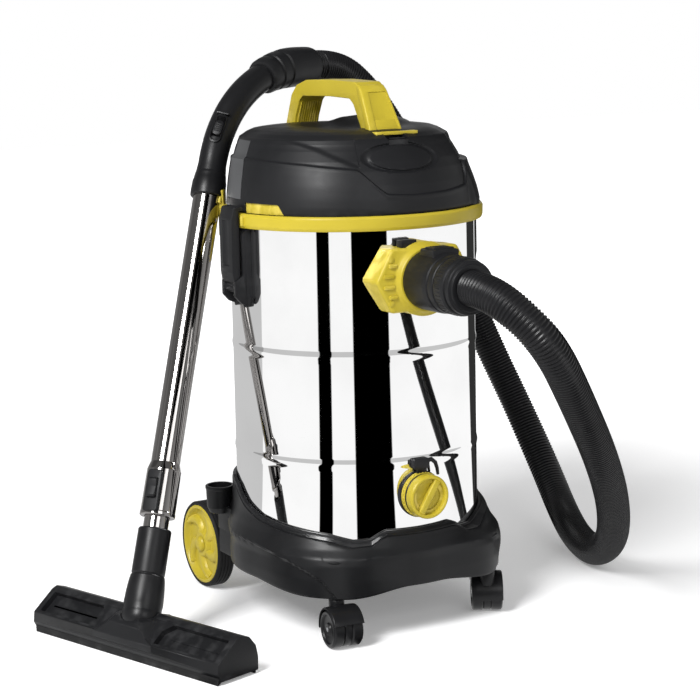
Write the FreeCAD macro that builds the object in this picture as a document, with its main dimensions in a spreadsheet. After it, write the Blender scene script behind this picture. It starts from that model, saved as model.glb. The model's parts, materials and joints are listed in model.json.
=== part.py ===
import FreeCAD, Part
import math
import os
import re
import Sketcher

# Wet and dry shop vacuum, in millimetres.  +Z is up and the front, with the
# suction inlet and the drain, faces -Y.  The origin is on the floor, under the
# middle of the machine; the drum's axis stands beside it at (axis_x, axis_y).

SIZES = {
    # where the drum's axis stands
    "axis_x": 123.62, "axis_y": 10.438,
    # fits
    "running": 0.05, "clearance": 0.3,
    # castors, which set how high the base stands
    "castor_radius": 25, "castor_wide": 17, "castor_web": 4.5, "castor_trail": 16,
    "stem_radius": 5.5, "fork_gap": 1.8, "fender_wall": 2.6, "castor_pin": 3,
    "base_foot": "castor_radius * 2 + 10", "drum_bottom": "base_foot + 56",
    "pod_radius": 26, "pod_top": "base_foot + 48", "stem_top": "base_foot + 32",
    # drum
    "drum_radius": 165, "drum_wall": 1, "drum_height": 430,
    "drum_top": "drum_bottom + drum_height", "drum_corner": 5, "rim_reach": 4.5, "rim_height": 6,
    "bead_low": "drum_bottom + 115.3", "bead_high": "drum_bottom + 256.9",
    "bead_half": 9, "bead_depth": 2.5,
    # base, and the circle that its castors stand on
    "base_wall": 4, "floor_plate": 4, "seat_gap": 0.5, "skirt_reach": 13.5,
    "base_radius": "drum_radius + seat_gap + base_wall + skirt_reach",
    "base_rim": "drum_bottom + 24", "castor_circle": "base_radius + 3.317",
    "castor_x": "castor_circle * 0.627962", "castor_y": "castor_circle * -0.778243",
    # sockets for spare tools
    "socket_radius": 19, "socket_bore": 16.2, "socket_circle": "base_radius + 8.379",
    "socket_x": "socket_circle * 0.825588", "socket_y": "socket_circle * 0.564325",
    "socket_top": "drum_bottom + 50", "socket_floor": "drum_bottom - 12",
    # rear wheels and axle
    "wheel_radius": 61.5, "wheel_width": 26, "tyre_thick": 4.7, "wheel_middle": 140.2,
    "hub_radius": "wheel_radius - tyre_thick", "axle_radius": 6,
    "axle_height": "wheel_radius",
    "axle_back": "socket_y + socket_radius + wheel_radius + 2",
    "axle_half": "wheel_middle + 0.5 * wheel_width + 0.8",
    "carrier_half": "wheel_middle - 0.5 * wheel_width - 9.2",
    "carrier_front": "axle_back - 70.5", "carrier_rear": "axle_back + 14.5",
    "carrier_foot": "axle_height - 14.5", "well_gap": 8,
    # lid's ring and its seal
    "ring_skirt": 10, "ring_gap": 1.7, "ring_wall": 5.4, "ring_web": 6, "seal_height": 3,
    "ring_bottom": "drum_top - ring_skirt", "ring_top": "drum_top + seal_height + ring_web",
    "ring_inner": "drum_radius + rim_reach + ring_gap", "ring_radius": "ring_inner + ring_wall",
    # hood and carrying handle
    "hood_step": 8.6, "hood_height": 105, "hood_lean": 20, "hood_wall": 3,
    "hood_radius": "ring_radius - hood_step", "ring_hole": "hood_radius - 28",
    "grip_half": 19, "grip_thick": 22, "grip_top": "ring_top + hood_height + 59",
    "grip_under": "grip_top - grip_thick",
    "grip_front": "hood_radius * -1 + 68", "grip_rear": "hood_radius - 16",
    # switch and cable gland
    "switch_face": "hood_radius - 40", "switch_back": "switch_face - 24", "switch_half": 15,
    "switch_floor": "ring_top + 80", "switch_top": "switch_floor + 12", "switch_wall": 3,
    "gland_height": "ring_top + 20", "gland_radius": 9, "gland_face": "hood_radius",
    # motor head, filter and float
    "plate_radius": "hood_radius - hood_wall - 5", "plate_height": 3, "eye_radius": 20,
    "fan_radius": 66, "fan_can_radius": "fan_radius + 8", "fan_can_height": 32,
    "shaft_radius": 4, "motor_radius": 46, "motor_height": 52,
    "cage_radius": 55, "cage_wall": 3, "cage_bottom": "ring_top - 115",
    "cage_flange": "cage_radius + 23", "filter_radius": "cage_radius + 30",
    "float_radius": "cage_radius - 10", "float_height": 24,
    # inlet and hose connector, all about the axis at inlet_height
    "inlet_height": "drum_top - 73", "inlet_half_wide": 72, "inlet_top_half": 48,
    "spigot_radius": 34, "inlet_collar": "spigot_radius + 9", "inlet_half_tall": "spigot_radius + 7",
    "inlet_hole": "spigot_radius + 3.5", "gasket": 1.2,
    "inlet_face": "drum_radius + 23", "inlet_mouth": "inlet_face + 17",
    "screw_x": "inlet_half_wide - 22", "screw_z": "inlet_half_tall - 13", "screw_radius": 2,
    "hose_radius": 23, "hose_seat": "hose_radius - 3", "connector_radius": "spigot_radius + 4",
    "connector_neck": "connector_radius - 5", "connector_bore": "spigot_radius - 8",
    "connector_end": "inlet_mouth + 57", "collar_end": "connector_end + 35",
    # drain
    "drain_height": "drum_bottom + 71.5", "spout_radius": 24, "drain_hole": "spout_radius - 3",
    "drain_flange": "spout_radius + 6", "spout_bore": "spout_radius - 6",
    "drain_cap_radius": "spout_radius + 5", "drain_cap_back": "drum_radius + 9",
    "drain_cap_face": "drain_cap_back + 18",
    # latches
    "latch_half": 18, "latch_inner": "ring_radius + 1.4", "latch_outer": "latch_inner + 9",
    "latch_pin_out": "latch_inner + 3", "latch_pin_height": "ring_top - 99", "latch_pin_radius": 2,
    "latch_reach": "ring_radius - 5", "latch_lift": 3.5, "latch_hook": 5,
    "bracket_face": "drum_radius + 6.5", "bracket_foot": "latch_pin_height - 12",
    "bracket_top": "ring_bottom - 6",
    # wand: where its top stands off the drum, and how far it leans to the floor tool's hinge
    "wand_stand": 34.404, "wand_top_x": "(drum_radius + wand_stand) * -0.70711",
    "wand_top_y": "wand_top_x * -1", "wand_top_z": 590, "lean_x": 204, "lean_y": 177,
    "foot_x": "wand_top_x - lean_x", "foot_y": "wand_top_y - lean_y",
    # wand, along its own axis from the tube's top
    "wand_length": "sqrt(lean_x ^ 2 + lean_y ^ 2 + (wand_top_z - hinge_height) ^ 2)",
    "tube_radius": 19.3, "tube_wall": 1, "inner_radius": "tube_radius - 2.8", "inner_top": 40,
    "sleeve_radius": "tube_radius + 3.2", "sleeve_top": 412, "sleeve_end": "sleeve_top + 64",
    "neck_top": "sleeve_end + 16", "neck_radius": "inner_radius + 4.5",
    "neck_end": "neck_top + 62", "inner_end": "neck_end - 12",
    "lock_out": "tube_radius + 1.7", "lock_half": 7,
    # wand handle and cuff
    "handle_radius": "tube_radius + 0.2", "handle_bore": "handle_radius - 3.5", "handle_spigot": 30,
    "handle_straight": 18, "bend_radius": 218, "bend_turn": 66, "slide_turn": 12, "slide_bed": 2.4,
    "cuff_turn": 22, "cuff_radius": "hose_radius + 5.5", "cuff_straight": 45,
    # floor tool
    "nozzle_half": 178, "nozzle_front": 36, "nozzle_back": 34, "nozzle_height": 36,
    "nozzle_foot": 5, "nozzle_turn": -72, "hinge_radius": 14, "hinge_half": 21,
    "hinge_height": 46, "hinge_pin": 4, "strip_thick": 3,
    # park clip
    "clip_turn": 138.5, "clip_height": "wand_top_z - 25",
}

# The handle bends over from the wand towards the hose, about this side.
BEND_SIDE = FreeCAD.Vector(0.8834, 0.2324, -0.4069)

# The hose's route from the connector's collar to the wand's cuff, from the
# drum's axis: forward out of the inlet, down to the floor on the right, and
# up behind the machine.
HOSE_ROUTE = [
    (0, -297, 473), (0, -333, 473), (20, -376, 445), (52, -392, 404), (109, -360, 334),
    (200, -292, 232), (285, -206, 140), (345, -124, 62), (366, -56, 24), (390, 22, 24),
    (414, 92, 46), (423, 148, 98), (412, 206, 188), (384, 241, 278), (350, 257, 366),
    (313, 265, 464), (269, 266, 558), (221, 267, 640), (181, 269, 693), (133, 264.8, 731),
]

DOC = FreeCAD.newDocument("ShopVacuum")
SHEET = DOC.addObject("Spreadsheet::Sheet", "Sizes")
PARTS = []


def fill_sheet():
    """Write each size beside its name, which is also its alias; some follow from others."""
    for row, (name, value) in enumerate(SIZES.items(), start=1):
        SHEET.set(f"A{row}", name)
        SHEET.set(f"B{row}", f"={value}" if isinstance(value, str) else str(value))
        SHEET.setAlias(f"B{row}", name)
    DOC.recompute()


def bound(text):
    """Spell each size in an expression with its sheet."""
    return re.sub(r"[a-z][a-z_]*", lambda word: qualified(word.group()), str(text))


def qualified(word):
    return f"Sizes.{word}" if word in SIZES else word


def number(text):
    """The value of an expression now."""
    return float(SHEET.evalExpression(bound(text)))


fill_sheet()


# ---------------------------------------------------------------- features

def new_body(label, about_drum=True):
    """A named sub-part; it stands on the drum's axis unless it is placed later."""
    body = DOC.addObject("PartDesign::Body", label)
    body.Label = label
    if about_drum:
        place(body)
    PARTS.append(body)
    return body


def place(feature, x="0", y="0", z="0", rotation=None):
    """Put a feature at a point given from the drum's axis on the floor."""
    if rotation is not None:
        feature.Placement = FreeCAD.Placement(FreeCAD.Vector(), rotation)
    feature.setExpression("Placement.Base.x", bound(f"axis_x + {x}"))
    feature.setExpression("Placement.Base.y", bound(f"axis_y + {y}"))
    feature.setExpression("Placement.Base.z", bound(z))


def origin_plane(body, role):
    return next(item for item in body.Origin.OriginFeatures if item.Role == role)


def new_sketch(body, plane, lift):
    sketch = body.newObject("Sketcher::SketchObject", f"{body.Name}_Sketch")
    sketch.AttachmentSupport = [(origin_plane(body, f"{plane}_Plane"), "")]
    sketch.MapMode = "FlatFace"
    sketch.setExpression("AttachmentOffset.Base.z", bound(lift))
    return sketch


def tie(sketch, kind, geometry, point, text):
    """Hold one coordinate of a sketch point at the value of an expression."""
    row = sketch.addConstraint(Sketcher.Constraint(kind, -1, 1, geometry, point, number(text)))
    sketch.setExpression(f"Constraints[{row}]", bound(text))


def outline(body, plane, corners, lift="0"):
    """A closed sketch of straight edges through corners given as expressions."""
    sketch = new_sketch(body, plane, lift)
    add_outline(sketch, corners)
    return sketch


def add_outline(sketch, corners):
    points = [FreeCAD.Vector(number(x), number(y), 0) for x, y in corners]
    first = sketch.GeometryCount
    count = len(points)
    for start, end in zip(points, points[1:] + points[:1]):
        sketch.addGeometry(Part.LineSegment(start, end))
    for index in range(count):
        after = first + (index + 1) % count
        sketch.addConstraint(Sketcher.Constraint("Coincident", first + index, 2, after, 1))
    for index, (x, y) in enumerate(corners):
        tie(sketch, "DistanceX", first + index, 1, x)
        tie(sketch, "DistanceY", first + index, 1, y)


def rounds(body, plane, circles, lift="0"):
    """A sketch of circles, each given as centre x, centre y and radius."""
    sketch = new_sketch(body, plane, lift)
    for x, y, radius in circles:
        centre = FreeCAD.Vector(number(x), number(y), 0)
        index = sketch.addGeometry(Part.Circle(centre, FreeCAD.Vector(0, 0, 1), number(radius)))
        tie(sketch, "DistanceX", index, 3, x)
        tie(sketch, "DistanceY", index, 3, y)
        row = sketch.addConstraint(Sketcher.Constraint("Radius", index, number(radius)))
        sketch.setExpression(f"Constraints[{row}]", bound(radius))
    return sketch


def pad(body, sketch, length):
    """Raise a sketch along its plane's normal."""
    feature = body.newObject("PartDesign::Pad", f"{body.Name}_Pad")
    feature.Profile = sketch
    feature.setExpression("Length", bound(length))
    body.Tip = feature
    return feature


def pocket(body, sketch, depth):
    """Cut a sketch down against its plane's normal."""
    feature = body.newObject("PartDesign::Pocket", f"{body.Name}_Pocket")
    feature.Profile = sketch
    feature.setExpression("Length", bound(depth))
    body.Tip = feature
    return feature


def turned(body, corners, kind="Revolution"):
    """Turn an (r, z) outline about the body's Z axis."""
    sketch = outline(body, "XZ", corners)
    feature = body.newObject(f"PartDesign::{kind}", f"{body.Name}_{kind}")
    feature.Profile = sketch
    feature.ReferenceAxis = (sketch, ["V_Axis"])
    feature.Angle = 360
    body.Tip = feature
    return feature


def column(body, plane, circles, start, end):
    """Raise circles between two distances along a plane's normal."""
    return pad(body, rounds(body, plane, circles, start), f"({end}) - ({start})")


def bore(body, plane, circles, start, end):
    """Cut circles between two distances along a plane's normal."""
    return pocket(body, rounds(body, plane, circles, end), f"({end}) - ({start})")


def block(body, plane, corners, start, end):
    """Raise an outline between two distances along a plane's normal."""
    return pad(body, outline(body, plane, corners, start), f"({end}) - ({start})")


def slot(body, plane, corners, start, end):
    """Cut an outline between two distances along a plane's normal."""
    return pocket(body, outline(body, plane, corners, end), f"({end}) - ({start})")


def rectangle(left, right, low, high):
    return [(left, low), (right, low), (right, high), (left, high)]


def stack(body, kind, sections):
    """Loft straight through horizontal circles given as height, radius and y."""
    sketches = [rounds(body, "XY", [("0", y, radius)], z) for z, radius, y in sections]
    feature = body.newObject(f"PartDesign::{kind}Loft", f"{body.Name}_{kind}Loft")
    feature.Profile = sketches[0]
    feature.Sections = sketches[1:]
    feature.Ruled = True
    body.Tip = feature
    return feature


def repeat_about_z(body, feature, count):
    """Repeat a feature evenly about the body's Z axis."""
    pattern = body.newObject("PartDesign::PolarPattern", f"{body.Name}_Pattern")
    pattern.Originals = [feature]
    pattern.Axis = (origin_plane(body, "Z_Axis"), [""])
    pattern.Angle = 360
    pattern.Occurrences = count
    body.Tip = pattern
    return pattern


def trim_to_drum(body, radius, low="0", high="800"):
    """Cut away what lies inside an upright cylinder about the drum's axis."""
    return bore(body, "XY", [("0", "0", radius)], low, high)


def shaped(label, shape):
    """A sub-part whose shape is worked out directly."""
    feature = DOC.addObject("Part::Feature", label)
    feature.Label = label
    feature.Shape = shape
    feature.Placement = on_drum_axis(FreeCAD.Vector()).multiply(shape.Placement)
    PARTS.append(feature)
    return feature


def on_drum_axis(point, rotation=FreeCAD.Rotation()):
    axis = FreeCAD.Vector(number("axis_x"), number("axis_y"), 0)
    return FreeCAD.Placement(axis + point, rotation)


FORWARD = FreeCAD.Rotation(FreeCAD.Vector(1, 0, 0), 90)
ACROSS = FreeCAD.Rotation(FreeCAD.Vector(0, 1, 0), 90)
X_AXIS = FreeCAD.Vector(1, 0, 0)
Z_AXIS = FreeCAD.Vector(0, 0, 1)
WAND_TOP = FreeCAD.Vector(*(number(f"wand_top_{way}") for way in "xyz"))
WAND_FOOT = FreeCAD.Vector(number("foot_x"), number("foot_y"), number("hinge_height"))
WAND_AXIS = (WAND_TOP - WAND_FOOT).normalize()
BUTTON_WAY = FreeCAD.Vector(-0.78, -0.62, 0)
DOWN_WAND = FreeCAD.Rotation(BUTTON_WAY, FreeCAD.Vector(), WAND_AXIS * -1, "ZXY")
SIDES = (("left", -1), ("right", 1))


# ------------------------------------------------------------ base and drum

def base():
    """Moulded chassis: floor plate, skirt, castor pods, axle carrier and tool sockets."""
    body = new_body("base")
    seat = "drum_radius + seat_gap"
    turned(body, [
        ("0", "drum_bottom - floor_plate"), ("0", "drum_bottom"), (seat, "drum_bottom"),
        (seat, "base_rim"), (f"{seat} + base_wall", "base_rim"),
        ("base_radius - 5", "drum_bottom + 3"), ("base_radius", "base_foot + 42"),
        ("base_radius - 2", "base_foot"), ("base_radius - 2 - base_wall", "base_foot"),
        ("base_radius - base_wall", "base_foot + 40"), ("base_radius - 13", "drum_bottom - floor_plate"),
    ])
    pods = [("castor_x * -1", "castor_y", "pod_radius"), ("castor_x", "castor_y", "pod_radius")]
    column(body, "XY", pods, "base_foot", "pod_top")
    carrier = rectangle("carrier_half * -1", "carrier_half", "carrier_front", "carrier_rear")
    block(body, "XY", carrier, "carrier_foot", "drum_bottom - 0.5 * floor_plate")
    stems = [(x, y, "stem_radius + running") for x, y, _ in pods]
    bore(body, "XY", stems, "base_foot - 1", "stem_top + clearance")
    axle = [("axle_back", "axle_height", "axle_radius + running")]
    bore(body, "YZ", axle, "carrier_half * -1 - 1", "carrier_half + 1")
    well = [("axle_back", "axle_height", "wheel_radius + well_gap")]
    bore(body, "YZ", well, "carrier_half + 1", "base_radius + 5")
    bore(body, "YZ", well, "base_radius * -1 - 5", "carrier_half * -1 - 1")
    tools = [("socket_x * -1", "socket_y", "socket_radius"), ("socket_x", "socket_y", "socket_radius")]
    column(body, "XY", tools, "drum_bottom - 16", "socket_top")
    sockets = [(x, y, "socket_bore") for x, y, _ in tools]
    bore(body, "XY", sockets, "socket_floor", "socket_top + 1")


def bead(height, radius):
    """Four outline corners of a rolled bead about the drum, going up."""
    return [
        (radius, f"{height} - bead_half"), (f"{radius} + bead_depth", f"{height} - 0.4 * bead_half"),
        (f"{radius} + bead_depth", f"{height} + 0.4 * bead_half"), (radius, f"{height} + bead_half"),
    ]


def drum():
    """Steel drum with two rolled beads and a rolled rim."""
    body = new_body("drum")
    inside = "drum_radius - drum_wall"
    outer = bead("bead_low", "drum_radius") + bead("bead_high", "drum_radius")
    inner = bead("bead_low", inside) + bead("bead_high", inside)
    turned(body, [
        ("0", "drum_bottom"), ("drum_radius - drum_corner", "drum_bottom"),
        ("drum_radius", "drum_bottom + drum_corner"),
        *outer,
        ("drum_radius", "drum_top - rim_height"), ("drum_radius + rim_reach", "drum_top - rim_height + 1"),
        ("drum_radius + rim_reach", "drum_top"), (inside, "drum_top"),
        *reversed(inner),
        (inside, "drum_bottom + drum_corner"),
        (f"{inside} - drum_corner", "drum_bottom + drum_wall"), ("0", "drum_bottom + drum_wall"),
    ])
    bore(body, "XZ", [("0", "inlet_height", "inlet_hole")], "100", "drum_radius + 10")
    bore(body, "XZ", [("0", "drain_height", "drain_hole")], "100", "drum_radius + 10")
    screws = [(x, z, "screw_radius + clearance") for x, z in inlet_screw_places()]
    bore(body, "XZ", screws, "100", "drum_radius + 10")


# ---------------------------------------------------------------- inlet

def inlet_screw_places():
    return [(f"screw_x * {x}", f"inlet_height + screw_z * {z}") for x in (-1, 1) for z in (-1, 1)]


def inlet_housing():
    """Six-sided flange wrapped on the drum, with a round mouth for the hose."""
    body = new_body("inlet_housing")
    block(body, "XZ", [
        ("inlet_half_wide * -1", "inlet_height"), ("inlet_top_half * -1", "inlet_height - inlet_half_tall"),
        ("inlet_top_half", "inlet_height - inlet_half_tall"), ("inlet_half_wide", "inlet_height"),
        ("inlet_top_half", "inlet_height + inlet_half_tall"),
        ("inlet_top_half * -1", "inlet_height + inlet_half_tall"),
    ], "120", "inlet_face")
    column(body, "XZ", [("0", "inlet_height", "inlet_collar")], "120", "inlet_mouth")
    trim_to_drum(body, "drum_radius + gasket + 2 * clearance")
    bore(body, "XZ", [("0", "inlet_height", "spigot_radius + clearance")], "100", "inlet_mouth + 1")
    screws = [(x, z, "screw_radius + clearance") for x, z in inlet_screw_places()]
    bore(body, "XZ", screws, "100", "inlet_face + 1")


def inlet_gasket():
    """Rubber ring between the drum and the inlet housing."""
    body = new_body("inlet_gasket")
    column(body, "XZ", [("0", "inlet_height", "inlet_half_tall - 1")], "120", "inlet_face")
    trim_to_drum(body, "drum_radius + clearance")
    rings = [("0", "0", "drum_radius + clearance + gasket"), ("0", "0", "drum_radius * 2")]
    bore(body, "XY", rings, "0", "800")
    bore(body, "XZ", [("0", "inlet_height", "inlet_hole")], "100", "inlet_face + 1")


def inlet_screws():
    """Four screws through the housing and the drum's wall."""
    screws = []
    for x, z in inlet_screw_places():
        screw = DOC.addObject("Part::Cylinder", "inlet_screw")
        screw.setExpression("Radius", bound("screw_radius"))
        screw.setExpression("Height", bound("inlet_face - 145"))
        head = DOC.addObject("Part::Cone", "inlet_screw_head")
        head.setExpression("Radius1", bound("screw_radius * 2"))
        head.setExpression("Radius2", bound("screw_radius * 1.4"))
        head.setExpression("Height", bound("screw_radius"))
        screw.Placement = FreeCAD.Placement(FreeCAD.Vector(), FORWARD)
        head.Placement = FreeCAD.Placement(FreeCAD.Vector(), FORWARD)
        for piece, depth in ((screw, "145"), (head, "inlet_face")):
            piece.setExpression("Placement.Base.x", bound(x))
            piece.setExpression("Placement.Base.y", bound(f"({depth}) * -1"))
            piece.setExpression("Placement.Base.z", bound(z))
        whole = DOC.addObject("Part::Fuse", "inlet_screw_whole")
        whole.Base = screw
        whole.Tool = head
        screws.append(whole)
    group = DOC.addObject("Part::Compound", "inlet_screws")
    group.Label = "inlet_screws"
    group.Links = screws
    place(group)
    PARTS.append(group)


def inlet_deflector():
    """Elbow inside the drum that turns the incoming air down."""
    body = new_body("inlet_deflector")
    column(body, "XZ", [("0", "inlet_height", "spigot_radius + 2")], "108", "160")
    column(body, "XZ", [("0", "inlet_height", "inlet_collar + 3")], "157", "drum_radius")
    rings = [("0", "0", "drum_radius - drum_wall - clearance"), ("0", "0", "drum_radius * 2")]
    bore(body, "XY", rings, "0", "800")
    bore(body, "XZ", [("0", "inlet_height", "spigot_radius - 1")], "112", "drum_radius + 1")
    slot(body, "XY", rectangle("-24", "24", "-154", "-113"), "inlet_height - 60", "inlet_height")


def on_inlet_axis(body):
    """Stand a body on the inlet's axis, its own Z pointing forward out of the drum."""
    place(body, z="inlet_height", rotation=FORWARD)


def hose_connector():
    """Hollow hose end that plugs into the inlet, with a saddle for its release button."""
    body = new_body("hose_connector", about_drum=False)
    on_inlet_axis(body)
    turned(body, [
        ("connector_bore", "inlet_mouth - 34"), ("spigot_radius", "inlet_mouth - 34"),
        ("spigot_radius", "inlet_mouth + clearance"), ("connector_radius", "inlet_mouth + clearance"),
        ("connector_radius", "connector_end - 24"), ("connector_neck", "connector_end"),
        ("connector_bore", "connector_end"),
    ])
    slot(body, "XY", rectangle("-16", "16", "connector_radius - 7.5", "connector_radius + 2"),
         "inlet_mouth + 6", "inlet_mouth + 28")


def release_button():
    """Button in the connector's saddle."""
    body = new_body("release_button", about_drum=False)
    on_inlet_axis(body)
    block(body, "XY", [
        ("-16 + clearance", "connector_radius - 3.5"), ("16 - clearance", "connector_radius - 3.5"),
        ("16 - clearance", "connector_radius + 4"), ("12", "connector_radius + 6.5"),
        ("-12", "connector_radius + 6.5"), ("-16 + clearance", "connector_radius + 4"),
    ], "inlet_mouth + 6 + clearance", "inlet_mouth + 28 - clearance")


def hose_collar():
    """Ring that holds the hose's end to the connector."""
    body = new_body("hose_collar", about_drum=False)
    on_inlet_axis(body)
    turned(body, [
        ("hose_seat", "connector_end + clearance"), ("connector_neck", "connector_end + clearance"),
        ("connector_neck", "collar_end - 12"), ("connector_neck - 1.5", "collar_end - 10"),
        ("connector_neck - 1.5", "collar_end - 3"), ("connector_neck - 4.5", "collar_end"),
        ("hose_seat", "collar_end"),
    ])


# ---------------------------------------------------------------- drain

def drain_spout():
    """Flanged spout that empties the drum."""
    body = new_body("drain_spout")
    column(body, "XZ", [("0", "drain_height", "drain_flange")], "120", "drum_radius + 6.5")
    trim_to_drum(body, "drum_radius + clearance")
    column(body, "XZ", [("0", "drain_height", "drain_hole - clearance")], "150", "drum_radius + 4")
    column(body, "XZ", [("0", "drain_height", "spout_radius")], "drum_radius + 4", "drain_cap_face - 6")
    bore(body, "XZ", [("0", "drain_height", "spout_bore")], "140", "drain_cap_face + 1")


def drain_cap():
    """Screw cap over the spout, with a grip bar across a shallow dish."""
    body = new_body("drain_cap", about_drum=False)
    place(body, z="drain_height", rotation=FORWARD)
    turned(body, [
        ("spout_radius + clearance", "drain_cap_back"), ("drain_cap_radius", "drain_cap_back"),
        ("drain_cap_radius", "drain_cap_face"), ("drain_cap_radius - 5", "drain_cap_face"),
        ("drain_cap_radius - 7", "drain_cap_face - 3.5"), ("0", "drain_cap_face - 3.5"),
        ("0", "drain_cap_face - 5.5"), ("spout_radius + clearance", "drain_cap_face - 5.5"),
    ])
    block(body, "XY", rectangle("-21", "21", "-4", "4"), "drain_cap_face - 4", "drain_cap_face - 0.5")


def drain_seal():
    """Rubber washer between the spout's flange and the cap."""
    body = new_body("drain_seal", about_drum=False)
    place(body, z="drain_height", rotation=FORWARD)
    turned(body, [
        ("spout_radius + clearance", "drum_radius + 6.5"), ("drain_cap_radius - 1", "drum_radius + 6.5"),
        ("drain_cap_radius - 1", "drain_cap_back - clearance"), ("spout_radius + clearance", "drain_cap_back - clearance"),
    ])


def cap_strap():
    """Strap riveted to the drum that keeps the cap from being lost."""
    body = new_body("cap_strap")
    crest = "drum_radius + bead_depth"
    block(body, "YZ", [
        ("drum_radius * -1", "drain_height + 37"), (f"({crest}) * -1 - 3", "drain_height + 37"),
        (f"({crest}) * -1 - 5", "drain_height + 45"), (f"({crest}) * -1 - 5", "drain_height + 58"),
        ("drum_radius * -1", "drain_height + 58"),
    ], "-6", "6")
    trim_to_drum(body, f"{crest} + clearance")


# ------------------------------------------------------- axle and rear wheels

def rear_axle():
    """Steel rod through the carrier."""
    axle = DOC.addObject("Part::Cylinder", "rear_axle")
    axle.Label = "rear_axle"
    axle.setExpression("Radius", bound("axle_radius"))
    axle.setExpression("Height", bound("axle_half * 2"))
    place(axle, "axle_half * -1", "axle_back", "axle_height", ACROSS)
    PARTS.append(axle)


def axle_caps():
    """Two push-on caps at the axle's ends."""
    caps = []
    for start in ("axle_half * -1 - 3", "axle_half"):
        cap = DOC.addObject("Part::Cylinder", "axle_cap")
        cap.setExpression("Radius", bound("axle_radius + 6"))
        cap.setExpression("Height", bound("3"))
        cap.Placement = FreeCAD.Placement(FreeCAD.Vector(), ACROSS)
        cap.setExpression("Placement.Base.x", bound(start))
        caps.append(cap)
    group = DOC.addObject("Part::Compound", "axle_caps")
    group.Label = "axle_caps"
    group.Links = caps
    place(group, y="axle_back", z="axle_height")
    PARTS.append(group)


def rear_tyre(side, sign):
    """Rubber tread of a rear wheel."""
    body = new_body(f"rear_tyre_{side}", about_drum=False)
    place(body, f"wheel_middle * {sign}", "axle_back", "axle_height", ACROSS)
    turned(body, [
        ("hub_radius + running", "wheel_width * -0.5"), ("wheel_radius - 2", "wheel_width * -0.5"),
        ("wheel_radius", "wheel_width * -0.5 + 3"), ("wheel_radius", "wheel_width * 0.5 - 3"),
        ("wheel_radius - 2", "wheel_width * 0.5"), ("hub_radius + running", "wheel_width * 0.5"),
    ])


def rear_hub(side, sign):
    """Five-spoked hub of a rear wheel."""
    body = new_body(f"rear_hub_{side}", about_drum=False)
    place(body, f"wheel_middle * {sign}", "axle_back", "axle_height", ACROSS)
    nave = "axle_radius + running"
    turned(body, [
        (nave, "wheel_width * -0.5"), ("axle_radius + 7", "wheel_width * -0.5"),
        ("axle_radius + 7", "-4"), ("hub_radius - 6", "-4"),
        ("hub_radius - 6", "wheel_width * -0.5"), ("hub_radius", "wheel_width * -0.5"),
        ("hub_radius", "wheel_width * 0.5"), ("hub_radius - 6", "wheel_width * 0.5"),
        ("hub_radius - 6", "4"), ("axle_radius + 7", "4"),
        ("axle_radius + 7", "wheel_width * 0.5"), (nave, "wheel_width * 0.5"),
    ])
    window = slot(body, "XY", [
        ("17", "-5"), ("hub_radius - 10", "-19"), ("hub_radius - 8", "6"), ("28", "9"),
    ], "-5", "5")
    repeat_about_z(body, window, 5)


# ---------------------------------------------------------------- castors

CASTOR_HEADING = {"left": 264, "right": 60.6}


def castor_frame(body, side, height="0", rolled=False):
    """Stand a castor's piece over its stem; its own +X runs along the trail."""
    turn = FreeCAD.Rotation(FreeCAD.Vector(0, 0, 1), CASTOR_HEADING[side])
    sign = dict(SIDES)[side]
    place(body, f"castor_x * {sign}", "castor_y", height, turn)


def castor_fork(side):
    """Stem, web and hood of a twin-wheel castor."""
    body = new_body(f"castor_fork_{side}", about_drum=False)
    castor_frame(body, side)
    hood_inner = "castor_radius + fork_gap"
    axle = ("castor_trail", "castor_radius")
    column(body, "XZ", [(*axle, f"{hood_inner} + fender_wall")],
           "castor_web - castor_web * 2 - castor_wide", "castor_web + castor_wide")
    low = [("castor_trail - 60", "-40"), ("castor_trail + 60", "-40"),
           ("castor_trail + 60", "castor_radius + 8"), ("castor_trail + 8", "castor_radius + 8"),
           ("castor_trail + 8", "castor_radius - 10"), ("castor_trail - 8", "castor_radius - 10"),
           ("castor_trail - 8", "castor_radius + 8"), ("castor_trail - 60", "castor_radius + 8")]
    slot(body, "XZ", low, "-60", "60")
    column(body, "XY", [("0", "0", "stem_radius")], "castor_radius + 20", "stem_top")
    column(body, "XY", [("0", "0", "stem_radius + 5")], "castor_radius + 22", "base_foot - clearance")
    bore(body, "XZ", [(*axle, hood_inner)], "castor_web", "castor_web + castor_wide + 1")
    bore(body, "XZ", [(*axle, hood_inner)], "castor_web * -1 - castor_wide - 1", "castor_web * -1")
    bore(body, "XZ", [(*axle, "castor_pin")], "-60", "60")


def castor_pair(label, side, radius, start, end, hole=None):
    """Two discs on a castor's axle line, one each side of its web."""
    pieces = []
    for sign in (-1, 1):
        disc = DOC.addObject("Part::Cylinder", f"{label}_disc")
        disc.setExpression("Radius", bound(radius))
        disc.setExpression("Height", bound(f"({end}) - ({start})"))
        back = start if sign > 0 else f"({end}) * -1"
        disc.Placement = FreeCAD.Placement(FreeCAD.Vector(), FORWARD.inverted())
        disc.setExpression("Placement.Base.x", bound("castor_trail"))
        disc.setExpression("Placement.Base.y", bound(back))
        disc.setExpression("Placement.Base.z", bound("castor_radius"))
        pieces.append(disc)
    group = DOC.addObject("Part::Compound", f"{label}_pair")
    group.Links = pieces
    if hole is None:
        return group
    cutter = DOC.addObject("Part::Cylinder", f"{label}_hole")
    cutter.setExpression("Radius", bound(hole))
    cutter.setExpression("Height", bound(f"({end}) * 2 + 10"))
    cutter.Placement = FreeCAD.Placement(FreeCAD.Vector(), FORWARD.inverted())
    cutter.setExpression("Placement.Base.x", bound("castor_trail"))
    cutter.setExpression("Placement.Base.y", bound(f"({end}) * -1 - 5"))
    cutter.setExpression("Placement.Base.z", bound("castor_radius"))
    cut = DOC.addObject("Part::Cut", f"{label}_cut")
    cut.Base = group
    cut.Tool = cutter
    return cut


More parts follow.
